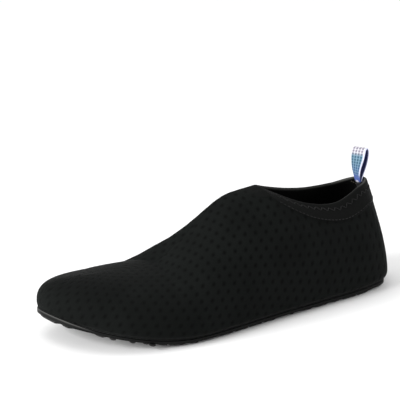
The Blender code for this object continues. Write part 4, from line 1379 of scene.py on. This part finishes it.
def loop_path():
    """Middle line of the tape with its half widths and the turn of its face.

    Up the inside of the heel along the collar's slope, round a drop whose sides stand apart by
    sin * cos of the angle round it, and down beside itself.
    """
    d, z, run, _, _ = upper_section(np.array([0.0]))
    x, y, _, _, _, ray_x, ray_y = rays(np.array([0.0]), True)
    marks = run[0, -1] - LOOP_LEG * np.linspace(1, 0, 14)
    leg_d, leg_z = np.interp(marks, run[0], d[0]), np.interp(marks, run[0], z[0])
    lean = math.atan2(leg_d[-1] - leg_d[0], leg_z[-1] - leg_z[0])
    side = np.concatenate([np.linspace(0, 0.5, 40), -np.linspace(0, 0.5, 40)]) % (2 * math.pi)
    rim = along_rays(side, upper_section(side)[0][:, -1:] + WALL, 0.0, True).reshape(2, 40, 3)
    half_foot = TAPE_WIDTH * LOOP_PINCH / 2
    bends = [np.interp(half_foot, np.abs(r[:, 1] - r[0, 1]), r[0, 0] - r[:, 0]) for r in rim]
    away = WALL + CLEARANCE + max(bends) + TAPE_THICKNESS / 2
    rear_x = x[0] + ray_x[0] * leg_d - away * math.cos(lean)
    rear_z = leg_z - away * math.sin(lean)
    pair = TAPE_THICKNESS + CLEARANCE
    middle = y[0] + ray_y[0] * leg_d[-1]
    around = np.linspace(0, math.pi, 91)[1:-1]
    rise = np.sin(around)
    apart = pair / 2 * np.cos(around) + LOOP_OPENING * rise * np.cos(around)
    twist = LOOP_TWIST * smooth(rise / 0.8)
    drop_x = rear_x[-1] - pair / 2 + LOOP_LEAN * smooth(rise) + apart * np.cos(twist)
    drop = np.stack([drop_x, middle + apart * np.sin(twist), rear_z[-1] + LOOP_HEIGHT * rise],
                    axis=1)
    legs = np.stack([rear_x, np.full(len(marks), middle), rear_z], axis=1)
    foot = np.full(len(marks), LOOP_PINCH)
    width = np.concatenate([foot, LOOP_PINCH + (1 - LOOP_PINCH) * smooth(rise / 0.9), foot])
    path = np.concatenate([legs, drop, (legs - [pair, 0, 0])[::-1]])
    return path, TAPE_WIDTH / 2 * width, np.concatenate([0 * marks, twist, 0 * marks])


path, half, face_turn = loop_path()
run = running(path) * 1000
across = np.stack([-np.sin(face_turn), np.cos(face_turn), 0 * face_turn], axis=1)
tangent = unit(np.gradient(path, axis=0))
outwards = unit(np.cross(across, tangent))
outwards *= np.sign(outwards[len(path) // 2, 2])
print("tape length", round(run[-1], 1), "mm")

# %% [markdown]
# The band's section is a superellipse, flat on its faces and round at its edges.

# %% Build the loop
BAND_POINTS = 44

phi = 2 * np.pi * np.arange(BAND_POINTS) / BAND_POINTS
wide = np.sign(np.cos(phi)) * np.abs(np.cos(phi)) ** 0.75
thick = np.sign(np.sin(phi)) * np.abs(np.sin(phi)) ** 0.35 * TAPE_THICKNESS / 2
band = (path[:, None] + across[:, None] * (half[:, None] * wide)[..., None]
        + outwards[:, None] * thick[:, None])
ring_u = np.where(phi <= np.pi, (1 - wide) / 4, 0.5 + (1 + wide) / 4)
next_u = np.append(ring_u[1:], 1.0)
v0, v1 = run[:-1, None], run[1:, None]
tape_uv = np.stack([np.stack(np.broadcast_arrays(u, v), axis=-1)
                    for u, v in ((ring_u, v0), (next_u, v0), (next_u, v1), (ring_u, v1))], axis=2)
loop = make_piece("pull_tape", band, stack_faces((1, *band.shape[:2])), TAPE,
                  uv=[tape_uv.reshape(-1, 4, 2), np.full((2, BAND_POINTS, 2), 0.9)],
                  smooth_angle=60)
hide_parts("pull_loop")

# %% [markdown]
# Three pale threads tack the tape's foot where it leaves the collar, and three beige stitches
# show in the lining beside it.

# %% Stitches at the loop's foot
TACK_RADIUS = 0.00024
TACK_LIFT = 0.00012
TACK_SHARE = 0.55

foot_row = len(path) - 13
foot_face = path[foot_row] + outwards[foot_row] * (TAPE_THICKNESS / 2 + 0.0001)
tack_middle = foot_face + tangent[foot_row] * np.array([[-0.0004], [0.0001], [0.0006]])
tack_reach = across[-1] * half[-1] * TACK_SHARE
sew("loop_bartack", tack_middle - tack_reach, tack_middle + tack_reach,
    np.repeat(outwards[foot_row][None], 3, axis=0), TACK_RADIUS, TACK_LIFT, PALE_THREAD)
lining_turn = 2 * math.pi - np.array([0.29, 0.25, 0.21])
lining_depth = np.array([0.0020, 0.0032, 0.0044])
lining_from, up = upper_frame(lining_turn, lining_depth, -WALL - 0.0001)
lining_to, _ = upper_frame(lining_turn + 0.030, lining_depth + 0.0009, -WALL - 0.0001)
sew("lining_stitches", lining_from, lining_to, -up, TACK_RADIUS, TACK_LIFT, BEIGE_THREAD)

# %% [markdown]
# ## Camera
#
# The view is the photograph's: from the outer side, towards the toe, a little above. The camera
# stands about 1.85 m away with a long lens. Its aim is moved off the shoe's middle until the
# shoe lies in the frame where it does in the photograph.

# %% Camera at the photograph's angle
VIEW_TURN = math.radians(-35.685)
VIEW_RISE = math.radians(18.292)
VIEW_DISTANCE = 1.846
AIM_HEIGHT = 0.0402
AIM_RIGHT = -0.0146
AIM_UP = 0.0290
FRAME_HEIGHT_PX = 408
FOCAL_PX = 2876.9
SENSOR_WIDTH = 36.0

level = math.cos(VIEW_RISE)
back = np.array([math.sin(VIEW_TURN) * level, -math.cos(VIEW_TURN) * level, math.sin(VIEW_RISE)])
right = np.array([math.cos(VIEW_TURN), math.sin(VIEW_TURN), 0.0])
upwards = np.cross(back, right)
aim = np.array([0.0, 0.0, AIM_HEIGHT]) + AIM_RIGHT * right + AIM_UP * upwards
camera_data = bpy.data.cameras.new("camera")
camera_data.sensor_width = SENSOR_WIDTH
camera_data.lens = SENSOR_WIDTH * FOCAL_PX / FRAME_HEIGHT_PX
camera_data.clip_start, camera_data.clip_end = 0.05, 50.0
camera = add_object("camera", camera_data)
axes = np.stack([right, upwards, back, aim + VIEW_DISTANCE * back], axis=1)
camera.matrix_world = Matrix(np.vstack([axes, [0, 0, 0, 1]]).tolist())
bpy.context.scene.camera = camera
print("lens", round(camera_data.lens, 1), "mm")

# %% [markdown]
# ## Floor and light
#
# A plain pale floor and soft light, as on a product table: the key is low and comes from the toe
# side, a weak light from above and a weak fill from the heel side help it, and the surround is
# an even white.

# %% Floor and lights
FLOOR_HALF = 4.0
SURROUND = 0.645

floor_mesh = bpy.data.meshes.new("floor")
floor_mesh.from_pydata([(x * FLOOR_HALF, y * FLOOR_HALF, 0)
                        for x, y in ((-1, -1), (1, -1), (1, 1), (-1, 1))], [], [(0, 1, 2, 3)])
pale_floor, _ = start_finish("pale_floor", Roughness=0.9, Base_Color=(0.9, 0.9, 0.9, 1.0))
floor_mesh.materials.append(pale_floor)
floor = add_object("floor", floor_mesh)


def soft_light(name, place, aim, size, power):
    """Square area light at a place, turned to its aim."""
    data = bpy.data.lights.new(name, "AREA")
    data.size = size
    data.energy = power
    light = add_object(name, data)
    light.location = place
    x, y, z = np.array(aim, float) - np.array(place, float)
    light.rotation_euler = (math.atan2(math.hypot(x, y), -z), 0.0,
                            math.atan2(y, x) - math.pi / 2)


soft_light("key", (-1.4, 0.0, 0.55), (-0.06, 0, 0.03), 0.8, 31.0)
soft_light("top", (-0.1, 0.5, 1.6), (0, 0, 0), 1.2, 7.0)
soft_light("fill", (1.3, -0.5, 0.8), (0.05, 0, 0.03), 1.0, 8.0)
world = bpy.data.worlds.new("surround")
world.use_nodes = True
background = world.node_tree.nodes["Background"]
background.inputs["Color"].default_value = (1.0, 1.0, 1.0, 1.0)
background.inputs["Strength"].default_value = SURROUND
bpy.context.scene.world = world
bpy.context.scene.view_settings.view_transform = "Standard"
print("lights:", len(bpy.data.lights))
